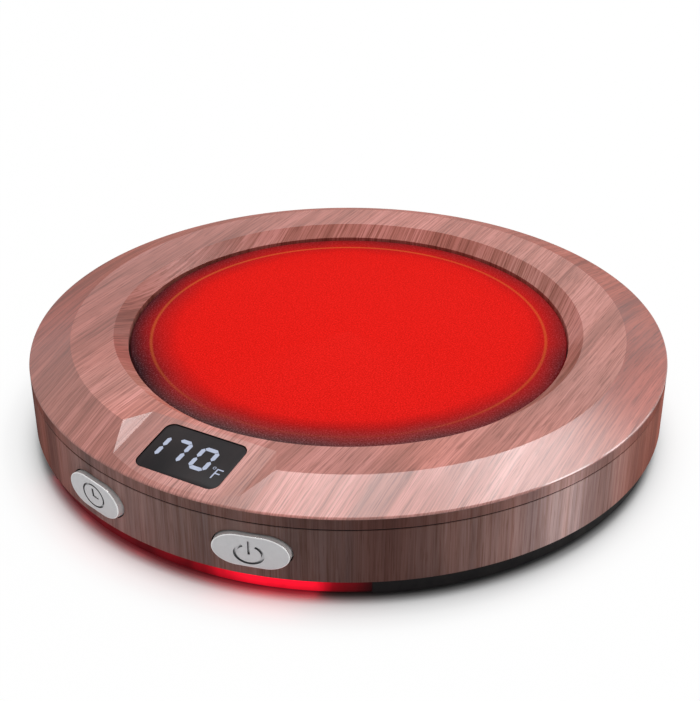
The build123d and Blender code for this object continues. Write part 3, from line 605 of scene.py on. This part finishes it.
# %% Turn the wall and open it
edge, clearance = 0.12, 0.3
wall = turned([
    (inner_radius, ring_bottom), (outer_radius - edge, ring_bottom),
    (outer_radius, ring_bottom + edge), (outer_radius, ring_top - edge),
    (outer_radius - edge, ring_top), (inner_radius, ring_top),
])
for side in (1, -1):
    opening = rounded_outline(button_width + 2 * clearance, button_height + 2 * clearance,
                              button_height / 2 + clearance, stretch=1.46)
    wall = carve(wall, slab(opening, 8.0, button_place(side, 70.0)))
cord_place = plane_matrix((0, 68.0, cord_level), (-1, 0, 0), (0, 1, 0))
wall = carve(wall, slab(rounded_outline(7.2, 7.2, 3.6), 10.0, cord_place))
for face in wall.faces:
    outside = abs(face.calc_center_median().xy.length / MM - outer_radius) < 0.15
    face.material_index = 0 if outside else 1
finish_piece("side_wall", wall, [wood_side, black_plastic], ["body_ring"],
             crease=20.0)

# %% [markdown]
# ## The heating plate
# A round aluminium plate with a black, finely speckled non-stick coating, a rounded edge and a bare
# underside. It glows red from the middle and darkens towards its rim. At the front of the rim a
# paler grey sheen is painted on, a painted reflection, and the glow is dimmed under it. A thin
# golden ring is printed on it where a mug should stand, fainter at the front. The glow, the
# speckle, the painted reflection and the ring are one material.

# %% Turn the plate and coat it
def rounded_corner(radius, height, size):
    """Profile points of a quarter round between a wall at `radius` and a top at `height`."""
    steps = 6
    turns = [math.pi / 2 * i / steps for i in range(steps + 1)]
    return [(radius - size + size * math.cos(t), height - size + size * math.sin(t)) for t in turns]


def coated_plate_finish():
    """Black speckled coating that glows red towards the middle."""
    finish, shader, coordinates = start_finish("coated_aluminium")
    heat_centre, heat_reach, ring_radius, ring_half_width = (0.4, 1.9), 54.0, 46.9, 0.5
    aside = [-heat_centre[0] * MM, -heat_centre[1] * MM, 0.0]
    heat_place = add_node("Mapping", {"Vector": coordinates, "Location": aside}).outputs[0]
    speckle = add_noise(coordinates, 2900.0, detail=2.0, roughness=0.75)
    cloud = add_noise(coordinates, 45.0, detail=2.0)
    wander = add_math("MULTIPLY", add_math("SUBTRACT", cloud, 0.5), 5 * MM)
    warmth = part_of(add_math("ADD", radius_of(heat_place), wander), 0, heat_reach)
    glow = add_ramp(warmth, [
        (0.0, (0.95, 0.006, 0.001)), (0.7, (0.92, 0.006, 0.001)), (0.778, (0.88, 0.006, 0.002)),
        (0.852, (0.595, 0.004, 0.002)), (0.9185, (0.298, 0.003, 0.003)),
        (0.95, (0.155, 0.002, 0.003)), (0.98, (0.06, 0.002, 0.003)), (1.0, (0.02, 0.001, 0.002)),
    ])
    black = add_ramp(speckle, [
        (0.36, (0.003, 0.002, 0.002)), (0.55, (0.012, 0.007, 0.009)), (0.72, (0.1, 0.062, 0.075)),
    ])
    black = multiply(black, add_ramp(warmth, [(0.8, 0.12), (1.0, 1.0)]))
    # Painted reflection: a paler grey sheen is added at the front of the rim, and the glow dims
    # under it.
    turn = turn_of(coordinates)
    painted_sheen_mask = add_ramp(turn, [
        (0.4, 0.0), (0.46, 0.75), (0.5, 1.0), (0.64, 1.0), (0.69, 0.5), (0.76, 0.1),
    ])
    painted_sheen_grey = add_ramp(speckle, [(0.38, (0.014, 0.013, 0.012)), (0.6, (0.042, 0.039, 0.037))])
    painted_sheen_grey = multiply(painted_sheen_grey, add_ramp(warmth, [(0.84, 0.05), (0.97, 1.0)]))
    black = add_mix(black, painted_sheen_grey, painted_sheen_mask, "ADD")
    grainy = multiply(glow, add_ramp(speckle, [(0.34, 0.7), (0.66, 1.15)]))
    glow_dimming = add_ramp(warmth, [(0.78, 1.0), (0.86, 0.78), (0.92, 0.82), (1.0, 1.0)])
    grainy = multiply(grainy, glow_dimming, painted_sheen_mask)
    off_ring = add_math("SUBTRACT", radius_of(coordinates), ring_radius * MM)
    off_ring = part_of(add_math("ABSOLUTE", off_ring), 0, ring_half_width)
    # The printed ring's strength by turn: faint at the front, stronger at the sides and the back.
    ring_strength = add_ramp(turn, [
        (0.2, 0.75), (0.36, 0.6), (0.47, 0.12), (0.62, 0.08), (0.7, 0.4), (0.8, 0.6),
    ])
    ring = multiply(add_ramp(off_ring, [(0.0, 0.32), (0.5, 0.2), (1.0, 0.0)]), ring_strength)
    fill(shader, {
        "Base Color": add_mix(black, (0.3, 0.14, 0.04), ring),
        "Emission Color": add_mix(grainy, (0.62, 0.15, 0.015), ring),
        "Emission Strength": 0.9,
        "Roughness": add_ramp(speckle, [(0.3, 0.75), (0.7, 0.55)]),
        "Specular IOR Level": 0.02,
    })
    add_relief(shader, speckle, 0.03, 0.5)
    return finish


plate = turned([(0, ledge_top), (plate_radius, ledge_top)]
               + rounded_corner(plate_radius, plate_top, 0.6) + [(0, plate_top)], closed=False)
for face in plate.faces:
    face.normal_update()
    face.material_index = 1 if face.normal.z < -0.5 else 0
bare_aluminium = mottled(
    "bare_aluminium", (0.5, 0.5, 0.52), (0.64, 0.64, 0.65), 400, (0.35, 0.5), 0.006, 1.0)
finish_piece("glow_plate", plate, [coated_plate_finish(), bare_aluminium], ["heating_plate"])

# %% [markdown]
# ## The display window
# A small sheet of smoked acrylic, almost black, lies a little below the pad. Its upper edge is
# broken, because a cut edge that catches light is how the eye knows a separate sheet.

# %% Extrude the window
def smoked_finish():
    """Smoked acrylic: nearly black, with a soft gloss and faint wipe marks."""
    finish, shader, coordinates = start_finish("window_acrylic")
    wiped = add_noise(coordinates, 160.0, (1, 0.25, 1), detail=3.0)
    dark, light = (0.013, 0.012, 0.0135), (0.024, 0.0185, 0.0195)
    fill(shader, {
        "Base Color": add_ramp(wiped, [(0.35, dark), (0.65, light)]),
        "Roughness": add_ramp(wiped, [(0.3, 0.32), (0.7, 0.4)]), "Specular IOR Level": 0.08,
    })
    return finish


lens = rounded_outline(window_width - 2 * lens_gap, window_length - 2 * lens_gap,
                       window_corner - lens_gap)
lens_top = raise_faces(lens, lens.faces[:], lens_thickness)
face_out(lens)
bevel(lens, list(lens_top[0].edges), 0.05)
move(lens, lens.verts, (0, 0, -(lens_recess + lens_thickness) * MM))
finish_piece("window_glass", lay(lens, window_place), [smoked_finish()], ["display_window"])

# %% [markdown]
# ## The digits
# The display shows 170 and a small degree sign with an F. A font could draw them, but a segment
# display is a pattern of bars, so bars with mitred ends are the honest way: one drawing of a bar is
# placed for each lit segment, and the whole line is sheared once and laid on the window.

# %% Draw and light the segments
segment_width, segment_gap = 0.98, 0.1
digit_height, digit_lean = 6.7, math.tan(math.radians(2.5))


def add_bar(bm, start, end, width=segment_width, mitre=True):
    """A flat bar between two points, with mitred ends, in millimetres."""
    start, end = Vector((*start, 0)), Vector((*end, 0))
    run = (end - start).normalized()
    side = Vector((-run.y, run.x, 0)) * width / 2
    if mitre:
        tip = run * (width / 2)
        outline = [start, start + tip + side, end - tip + side, end, end - tip - side,
                   start + tip - side]
    else:
        outline = [start + side, end + side, end - side, start - side]
    bm.faces.new([bm.verts.new(p * MM) for p in outline])


def add_digit(bm, left, right, lit):
    """Bars of one digit; lit names its segments as on every segment display, a to g."""
    half = segment_width / 2
    west, east = left + half, right - half
    north, south = digit_height / 2 - half, -digit_height / 2 + half
    spans = {
        "a": ((west, north), (east, north)), "g": ((west, 0), (east, 0)),
        "d": ((west, south), (east, south)), "f": ((west, 0), (west, north)),
        "b": ((east, 0), (east, north)), "e": ((west, south), (west, 0)),
        "c": ((east, south), (east, 0)),
    }
    for name in lit:
        start, end = map(Vector, spans[name])
        run = (end - start).normalized() * segment_gap
        add_bar(bm, start + run, end - run)


digits = bmesh.new()
add_digit(digits, -10.8, -6.75, "bc")
add_digit(digits, -5.4, -1.45, "abc")
add_digit(digits, 0.75, 5.1, "abcdef")
move(digits, digits.verts, Vector((0, 0.22, 0)) * MM)
# The degree ring and the F are drawn with thin strokes.
unit_marks = bmesh.new()
for start, end in (
    ((7.3, -3.8), (7.3, -1.0)), ((7.14, -1.14), (8.7, -1.14)), ((7.3, -2.3), (8.5, -2.3)),
):
    add_bar(unit_marks, start, end, 0.3, mitre=False)
bmesh.ops.create_circle(unit_marks, cap_ends=True, segments=24, radius=0.36 * MM,
                        matrix=Matrix.Translation(Vector((6.45, -1.05, 0)) * MM))
degree_face = max(unit_marks.faces, key=lambda f: len(f.verts))
bmesh.ops.inset_individual(unit_marks, faces=[degree_face], thickness=0.1 * MM)
bmesh.ops.delete(unit_marks, geom=[degree_face], context="FACES")

display_light, shader, coordinates = start_finish("display_light")
dim, bright = (0.32, 0.36, 0.5), (0.38, 0.43, 0.57)
flicker = add_ramp(add_noise(coordinates, 900.0), [(0.3, dim), (0.7, bright)])
fill(shader, {
    "Base Color": (0.08, 0.085, 0.1), "Emission Color": flicker, "Emission Strength": 0.88,
})
digits_place = window_place @ Matrix.Translation((0, 0, -lens_recess * MM))
shear = Matrix.Identity(4)
shear[0][1] = digit_lean
for name, drawing in (("display_digits", digits), ("display_unit", unit_marks)):
    slab(lay(drawing, shear), 0.03, digits_place)
    face_out(drawing)
    finish_piece(name, drawing, [display_light], [])

# %% [markdown]
# ## The push buttons
# Two silver buttons stand 0.9 mm out of the side wall. Each is a stadium with elliptical ends and a
# polished, rounded front edge, a wider flange that stops it behind the wall, and a short stem that
# meets its switch. One outline gives it all: extrude the flange, inset its face to the cap's size,
# extrude again and round the front edge. The cap's sides and flange wear a lighter, less
# metallic silver, painted light. The icons are small Boolean cuts whose walls wear a darker finish,
# painted shade.

# %% Shape the buttons and engrave their icons
even = (1, 1, 1), 4.0  # no squeeze, and a relief four times finer than the tones
silver = [mottled(*row) for row in (
    ("silver_button", (0.48, 0.475, 0.485), (0.51, 0.505, 0.515), 900, (0.36, 0.4), 0.001, 0.8,
     *even),
    # Painted shade for the walls of the icons' grooves.
    ("silver_groove", (0.09, 0.09, 0.095), (0.14, 0.14, 0.145), 500, (0.5, 0.6), 0.004, 0.2),
    ("silver_edge", (0.62, 0.61, 0.61), (0.72, 0.71, 0.71), 900, (0.14, 0.2), 0.001, 1.0, *even),
    # A lighter, less metallic copy of the silver for the cap's sides and flange: painted light.
    ("silver_wall", (0.7, 0.67, 0.67), (0.78, 0.75, 0.75), 900, (0.45, 0.55), 0.001, 0.15, *even),
)]
FACE, GROOVE_PAINTED_SHADE, POLISHED, WALL_PAINTED_LIGHT = range(4)
flange_back, flange_front, stem_end, flange_rim = 70.93, 72.13, 68.73, 0.9
icon_spread = 1.36  # the rings are drawn wider than tall, as the buttons are


def ring_stroke(radius, width, drop=0.0, opening=0.0):
    """An oval stroke, `drop` below the middle; `opening` is half its gap on top, in degrees."""
    bm = bmesh.new()
    start, turn_by = math.radians(90 + opening), math.tau - 2 * math.radians(opening)
    reaches = [(radius + k * width / 2) * MM for k in (-1, 1)]
    ends = [bm.verts.new((r * math.cos(start), r * math.sin(start), 0)) for r in reaches]
    edge = bm.edges.new(ends)
    spin(bm, ends + [edge], turn_by, 48, merge=opening == 0)
    bmesh.ops.scale(bm, vec=(icon_spread, 1, 1), verts=bm.verts)
    move(bm, bm.verts, (0, -drop * MM, 0))
    return bm


def stroke_bar(start, end, width):
    """One straight stroke of an icon."""
    bm = bmesh.new()
    add_bar(bm, start, end, width, mitre=False)
    return bm


def button_piece(name, side, aside, icon):
    """One push button, from stem to engraved face; the icon stands `aside` of the middle."""
    cap = rounded_outline(button_width + 2 * flange_rim, button_height + 2 * flange_rim,
                          button_height / 2 + flange_rim, stretch=1.4)
    front = raise_faces(cap, cap.faces[:], flange_front - flange_back)
    bmesh.ops.inset_region(cap, faces=front, thickness=flange_rim * MM, use_even_offset=True)
    front = raise_faces(cap, front, button_face - flange_front)
    face_out(cap)
    # The cap's sides and flange wear the lighter silver, painted light.
    for face in cap.faces:
        face.material_index = FACE if face in front else WALL_PAINTED_LIGHT
    for face in bevel(cap, [e for f in front for e in f.edges], 0.2, 4):
        face.material_index = POLISHED
    lay(cap, button_place(side, flange_back))
    # The stem meets its plunger 0.4 mm above the cap's middle.
    stem_size, stem_lift = (3.4, 3.4, 3.0), Matrix.Translation((0, 0.4 * MM, 0))
    stem_place = button_place(side, stem_end + stem_size[2] / 2) @ stem_lift
    cap = carve(cap, block(stem_size, stem_place), "UNION")
    icon_place = button_place(side, button_face - 0.5) @ Matrix.Translation((aside * MM, 0, 0))
    for number, stroke in enumerate(icon):
        raise_faces(stroke, stroke.faces[:], 1.2)
        face_out(stroke)
        # The strokes' walls are painted shade, a dark finish, and their floors keep the face's
        # finish. A third stroke, the clock's second hand, takes the polished finish throughout.
        for face in stroke.faces:
            shade_or_face = GROOVE_PAINTED_SHADE if abs(face.normal.z) < 0.5 else FACE
            face.material_index = shade_or_face if number < 2 else POLISHED
        cap = carve(cap, lay(stroke, icon_place))
    finish_piece(name + "_cap", cap, silver, [name], name, 35.0)


button_piece("power_button", 1, -0.3, [
    ring_stroke(2.15, 0.5, 0.62, 27.0), stroke_bar((0, -0.65), (0, 2.55), 0.5),
])
button_piece("timer_button", -1, -0.1, [
    ring_stroke(2.5, 0.36), stroke_bar((0, -0.25), (-0.25, 1.6), 0.6),
    stroke_bar((0.2, -0.1), (1.7, -0.1), 0.5),
])

# %% [markdown]
# ## The night light
# A red translucent arc fills the front of the black band. Five small lamps shine through the
# plastic, brightest a little to the right of the display and a dark red at the ends. A profile with
# a rounded lower edge is made a face, turned to one end of the arc and spun to the other. The
# finish makes the light, and lets it fade towards the lower edge, where the plastic turns under.

# %% Light the red band
red_light, shader, coordinates = start_finish("red_diffuser")
across = turn_of(coordinates, math.radians(70))
spread = add_ramp(across, [
    (0.03, 0.04), (0.157, 0.065), (0.271, 0.085), (0.329, 0.1), (0.386, 0.065), (0.443, 0.06),
    (0.5, 0.115), (0.557, 0.12), (0.6, 0.3), (0.643, 0.62), (0.7, 0.95), (0.743, 1.0),
    (0.814, 0.95), (0.857, 0.93), (0.886, 0.3), (0.914, 0.12), (0.971, 0.03),
])
fade = add_node("MapRange", {
    "Value": split(coordinates)["Z"], "From Min": base_bottom * MM, "From Max": 3.6 * MM,
    "To Min": 0.42, "To Max": 1.0,
}).outputs["Result"]
cloudy = add_noise(coordinates, 150.0, (1, 1, 0.6), detail=3.0)
spread = multiply(spread, add_ramp(cloudy, [(0.36, 0.5), (0.56, 1.0)]), 0.8)
spread = multiply(spread, fade)
# Towards its ends the tint thickens until it looks as black as the band beside it.
tint = add_ramp(cloudy, [(0.3, (0.025, 0.001, 0.003)), (0.7, (0.055, 0.003, 0.006))])
clearness = add_ramp(across, [(0.04, 0.0), (0.16, 1.0), (0.86, 1.0), (0.93, 0.0)])
fill(shader, {
    "Base Color": add_mix((0.006, 0.004, 0.005), tint, clearness),
    "Emission Color": multiply((1.0, 0.006, 0.026), spread), "Emission Strength": 1.3,
    "Specular IOR Level": 0.05, "Roughness": 0.5,
})
guide_inner, guide_lip, guide_half_angle = 70.3, 1.7, math.radians(33.22)
band = bmesh.new()
rail = [band.verts.new((r * MM, 0, z * MM)) for r, z in (
    (guide_inner, base_bottom), (band_radius - 0.9, base_bottom),
    (band_radius - 0.42, base_bottom + 0.12), (band_radius - 0.12, base_bottom + 0.42),
    (band_radius, base_bottom + 0.9), (band_radius, ring_bottom),
    (guide_inner - guide_lip, ring_bottom), (guide_inner - guide_lip, 3.2), (guide_inner, 3.2),
)]
start = Matrix.Rotation(math.radians(-90) - guide_half_angle, 3, "Z")
bmesh.ops.rotate(band, verts=rail, matrix=start)
spin(band, [band.faces.new(rail)], 2 * guide_half_angle, 96)
face_out(band)
finish_piece("light_band", band, [red_light], ["light_guide"])

# %% [markdown]
# ## The cord's entry
# At the back a rubber bushing closes the hole for the mains cord. Its collar has a rounded rim and
# a shallow ring pressed into it, and its bore is flared so that it can't chafe the cord. It is a
# turned part, so its profile is spun upright and then laid down along the Y axis.

# %% Turn the bushing
bore, neck, collar, bushing_face = 2.3, 3.5, 4.8, 76.0
bushing = turned([
    (bore, 71.6), (neck - 0.2, 71.6), (neck, 71.8), (neck, outer_radius), (collar, outer_radius),
] + rounded_corner(collar, bushing_face, 0.45) + [
    (4.0, bushing_face), (3.9, 75.85), (3.65, 75.85), (3.55, bushing_face),
    (bore + 0.5, bushing_face), (bore + 0.15, 75.85), (bore, 75.5),
], segments=96)
lay(bushing, plane_matrix((0, 0, cord_level), (-1, 0, 0), (0, 1, 0)))
finish_piece("cord_bushing", bushing, [rubber], ["cord_grommet"])

# %% [markdown]
# ## Feet and screws
# Four rubber feet carry the warmer. Each is a disc with a rounded rim and a shallow cup in its
# face, which grips a table better. The base hangs on two screws at the back, whose heads lie sunk
# from below. Two thin blocks, crossed, cut the recess for the driver. One screw and one foot are
# made, then copied.

# %% Turn the feet and the screws
def copies_around(bm, radius, azimuths):
    """Moves a shape to its first place on a circle and copies it to the others, in millimetres."""
    turns = [math.radians(a) for a in azimuths]
    places = [Vector((radius * math.cos(t), radius * math.sin(t), 0)) * MM for t in turns]
    shape = bm.verts[:] + bm.edges[:] + bm.faces[:]
    for place in places[1:]:
        move(bm, bmesh.ops.duplicate(bm, geom=shape)["geom"], place)
    move(bm, shape, places[0])
    return bm


foot = turned([
    (0, 0.3), (3.4, 0.3), (3.75, 0.06), (3.95, 0), (4.55, 0), (4.87, 0.13), (5, 0.45), (5, 1.2),
    (0, 1.2),
], segments=64, closed=False)
finish_piece("rubber_pads", copies_around(foot, 62.0, (45, 135, 225, 315)), [rubber],
             ["rubber_feet"])

screw = turned([
    (0, 1.8), (1.7, 1.8), (2.35, 2.02), (2.72, 2.45), (2.8, 2.8), (2.8, 3.6), (1.25, 3.6),
    (1.25, 12.1), (0.8, 12.6), (0, 12.6),
], segments=48, closed=False)
for turn in (0, 90):
    crossed = Matrix.Rotation(math.radians(turn), 4, "Z")
    screw = carve(screw, block((3.1, 0.72, 2.2), Matrix.Translation((0, 0, 1.75 * MM)) @ crossed))
finish_piece("base_screws", copies_around(screw, 64.0, (22, 158)), [steel], ["housing_screws"])

# %% [markdown]
# ## The parts that keep their shape
# The base and everything inside are already right as solids, so they stay and only get their
# finish. The boards show copper lines under their varnish, which a brick pattern gives.

# %% Give the remaining nodes their finishes
board_green, shader, coordinates = start_finish("board")
tracks = add_node("TexBrick", {
    "Vector": coordinates, "Color1": (0.006, 0.05, 0.022), "Color2": (0.011, 0.075, 0.032),
    "Mortar": (0.03, 0.16, 0.07), "Scale": 260.0, "Mortar Size": 0.035,
})
varnish = add_noise(coordinates, 600.0, detail=3.0)
varnish_shade = add_ramp(varnish, [(0.3, 0.8), (0.7, 1.15)])
fill(shader, {
    "Base Color": multiply(tracks.outputs["Color"], varnish_shade),
    "Roughness": add_ramp(varnish, [(0.3, 0.28), (0.7, 0.42)]),
})
add_relief(shader, tracks.outputs["Fac"], 0.03, 0.6)
worn_by = [
    (black_plastic, "base_cover"), (steel, "clamp_bar plate_studs clamp_nuts fuse_clip"),
    (board_green, "led_board display_board switch_boards main_board"),
]
for name, nodes, *tones in (
    ("component_black", "thermostat display_module control_chip power_switch timer_switch "
     "heater_triac line_fuse", (0.012, 0.012, 0.013), (0.03, 0.03, 0.031), 900, (0.4, 0.6), 0.01),
    ("ferrite", "transformer", (0.05, 0.052, 0.056), (0.11, 0.11, 0.115), 700, (0.5, 0.7), 0.02),
    ("capacitor_sleeve", "filter_capacitor", (0.01, 0.03, 0.09), (0.018, 0.05, 0.14), 300,
     (0.25, 0.4), 0.006),
    ("connector_white", "board_connectors power_plunger timer_plunger", (0.68, 0.66, 0.6),
     (0.78, 0.76, 0.7), 500, (0.45, 0.6), 0.01),
    ("terminal_green", "mains_terminal", (0.015, 0.2, 0.07), (0.025, 0.3, 0.11), 500,
     (0.4, 0.55), 0.01),
    ("heater_case", "heating_element thermal_fuse", (0.5, 0.5, 0.52), (0.66, 0.66, 0.67), 300,
     (0.35, 0.5), 0.01, 1.0),
    ("felt", "insulation_sheet", (0.32, 0.3, 0.27), (0.5, 0.48, 0.44), 1500, (0.85, 0.95), 0.12),
    ("led", "glow_leds", (0.5, 0.02, 0.03), (0.75, 0.04, 0.05), 900, (0.2, 0.35), 0.004),
):
    worn_by.append((mottled(name, *tones), nodes))
for finish, nodes in worn_by:
    for node in nodes.split():
        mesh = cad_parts[node].data
        mesh.materials.clear()
        mesh.materials.append(finish)
        mesh.polygons.foreach_set("use_smooth", [True] * len(mesh.polygons))
print("nodes finished:", sum(len(nodes.split()) for _, nodes in worn_by))

# %% [markdown]
# ## Floor and light
# The warmer stands on a white floor under soft studio light. Two softboxes hang behind and above,
# where the cone and the left facet mirror them, small ones are mirrored by the pad and the edges,
# and two large ones fill from the right and the left. A low light for the glint on the arris would
# flatten the grain, so two softboxes show in reflections only. The floor keeps its real shadow
# close to the warmer and turns to plain white further out, as on a lit table.

# %% Build the studio
floor_bm = bmesh.new()
bmesh.ops.create_grid(floor_bm, x_segments=1, y_segments=1, size=6.0)
move(floor_bm, floor_bm.verts, (0, 0, -0.03 * MM))
floor_mesh = bpy.data.meshes.new("floor")
floor_bm.to_mesh(floor_mesh)
floor_bm.free()
floor = add_object("floor", floor_mesh)
floor_finish, shader, coordinates = start_finish("floor")
away = radius_of(coordinates)
paper = add_ramp(add_noise(coordinates, 8.0), [(0.3, 0.8), (0.7, 0.82)])
# Hardly any light gets under the rim, so the paper darkens towards it.
rim_shade = add_ramp(part_of(away, 71, 4), [
    (0.25, 0.1), (0.5, 0.25), (0.75, 0.8), (1.0, 1.0),
])
fill(shader, {
    "Base Color": multiply(paper, rim_shade), "Roughness": 0.9, "Specular IOR Level": 0.05,
})
plain = add_ramp(part_of(away, 73, 17), [
    (0.0, 0.0), (0.059, 0.0), (0.118, 0.15), (0.176, 0.41), (0.235, 0.54), (0.294, 0.635),
    (0.412, 0.77), (0.529, 0.84), (0.647, 0.92), (0.82, 0.975), (1.0, 0.985),
])
rays = add_node("LightPath", {}, shader).outputs
seen = add_math("MAXIMUM", rays["Is Camera Ray"], rays["Is Glossy Ray"])
backlight = add_node("Emission", {"Strength": 1.0}, shader)
blend = add_node("MixShader", {
    0: add_math("MULTIPLY", seen, plain), 1: shader.outputs[0], 2: backlight.outputs[0],
})
# From below the floor is clear, so that the underside can be looked at, and light reaches it.
hidden = add_math("LESS_THAN", away, 70 * MM)
backfacing = add_node("NewGeometry", {}, shader).outputs["Backfacing"]
clear_floor = add_node("MixShader", {
    0: add_math("MAXIMUM", backfacing, hidden), 1: blend.outputs[0],
    2: add_node("BsdfTransparent", {}, shader).outputs[0],
})
output = floor_finish.node_tree.nodes["Material Output"]
fill(output, {"Surface": clear_floor.outputs[0]})
floor_mesh.materials.append(floor_finish)


def area_lamp(name, place, turn, size, watts, tint=(1, 1, 1)):
    """A rectangular area lamp at a place in metres, with an Euler turn."""
    lamp = add_object(name, bpy.data.lights.new(name, "AREA"))
    lamp.data.shape = "RECTANGLE"
    lamp.data.size, lamp.data.size_y = size
    lamp.data.energy, lamp.data.color = watts, tint
    lamp.location, lamp.rotation_euler = place, turn
    return lamp


# Degrees, metres and watts, and whether matt surfaces see the softbox too.
for name, azimuth, elevation, distance, size, watts, diffuse in (
    ("softbox_back", 76, 58, 1.1, (0.36, 0.52), 6.0, True),
    ("softbox_top", 132, 74, 1.1, (0.4, 0.36), 3.8, True),
    ("softbox_pad", 143, 53, 1.1, (0.2, 0.2), 0.25, True),
    ("softbox_edge", 45, 35, 1.1, (0.22, 0.3), 1.2, True),
    ("softbox_glint", 31, 42, 1.1, (0.36, 0.22), 1.7, False),
    ("softbox_low", 58, 24, 1.1, (0.36, 0.22), 0.6, False),
    ("softbox_right", 10, 30, 1.5, (0.7, 0.7), 1.8, True),
    ("softbox_left", -150, 40, 1.5, (0.9, 0.9), 0.6, True),
):
    a, e = math.radians(azimuth), math.radians(elevation)
    place = Vector((math.cos(e) * math.cos(a), math.cos(e) * math.sin(a), math.sin(e))) * distance
    aim = (-place).to_track_quat("-Z", "Y").to_euler()
    area_lamp(name, place, aim, size, watts).visible_diffuse = diffuse
# The lamps behind the red band also light the floor in front of it and under it. Each strip has
# degrees from the front, its distance, height and length in millimetres, and watts.
for number, (degrees, reach, height, length, watts) in enumerate((
    (-28, 80.0, 5.5, 20, 0.00014), (-14, 81.0, 6.0, 20, 0.0003), (0, 80.5, 6.0, 20, 0.00024),
    (15, 79.5, 4.5, 20, 0.00033), (28, 80.0, 5.0, 20, 0.00005),
    (-28, 71.8, 1.0, 20, 0.00012), (-14, 71.8, 1.0, 20, 0.00012), (0, 71.8, 1.0, 20, 0.00012),
    (11, 71.8, 1.0, 12, 0.00013), (20, 71.8, 1.0, 12, 0.0002),
), 1):
    a = math.radians(degrees - 90)
    place = Vector((math.cos(a) * reach, math.sin(a) * reach, height)) * MM
    glow = area_lamp("night_glow_%d" % number, place, (0, 0, a + math.pi / 2),
                     (length * MM, 2 * MM), watts, (1.0, 0.015, 0.05))
    glow.visible_camera = glow.visible_glossy = False

world = bpy.data.worlds.new("world")
bpy.context.scene.world = world
world.use_nodes = True
ground = world.node_tree.nodes["Background"]
rays = add_node("LightPath", {}, ground).outputs
seen = add_math("MAXIMUM", rays["Is Glossy Ray"], rays["Is Transmission Ray"])
seen = add_math("MAXIMUM", rays["Is Camera Ray"], seen)
level = add_node("MapRange", {"Value": seen, "To Min": 0.33, "To Max": 1.0})
fill(ground, {"Strength": level.outputs["Result"], "Color": (1, 1, 1)})
bpy.context.scene.view_settings.view_transform = "Standard"
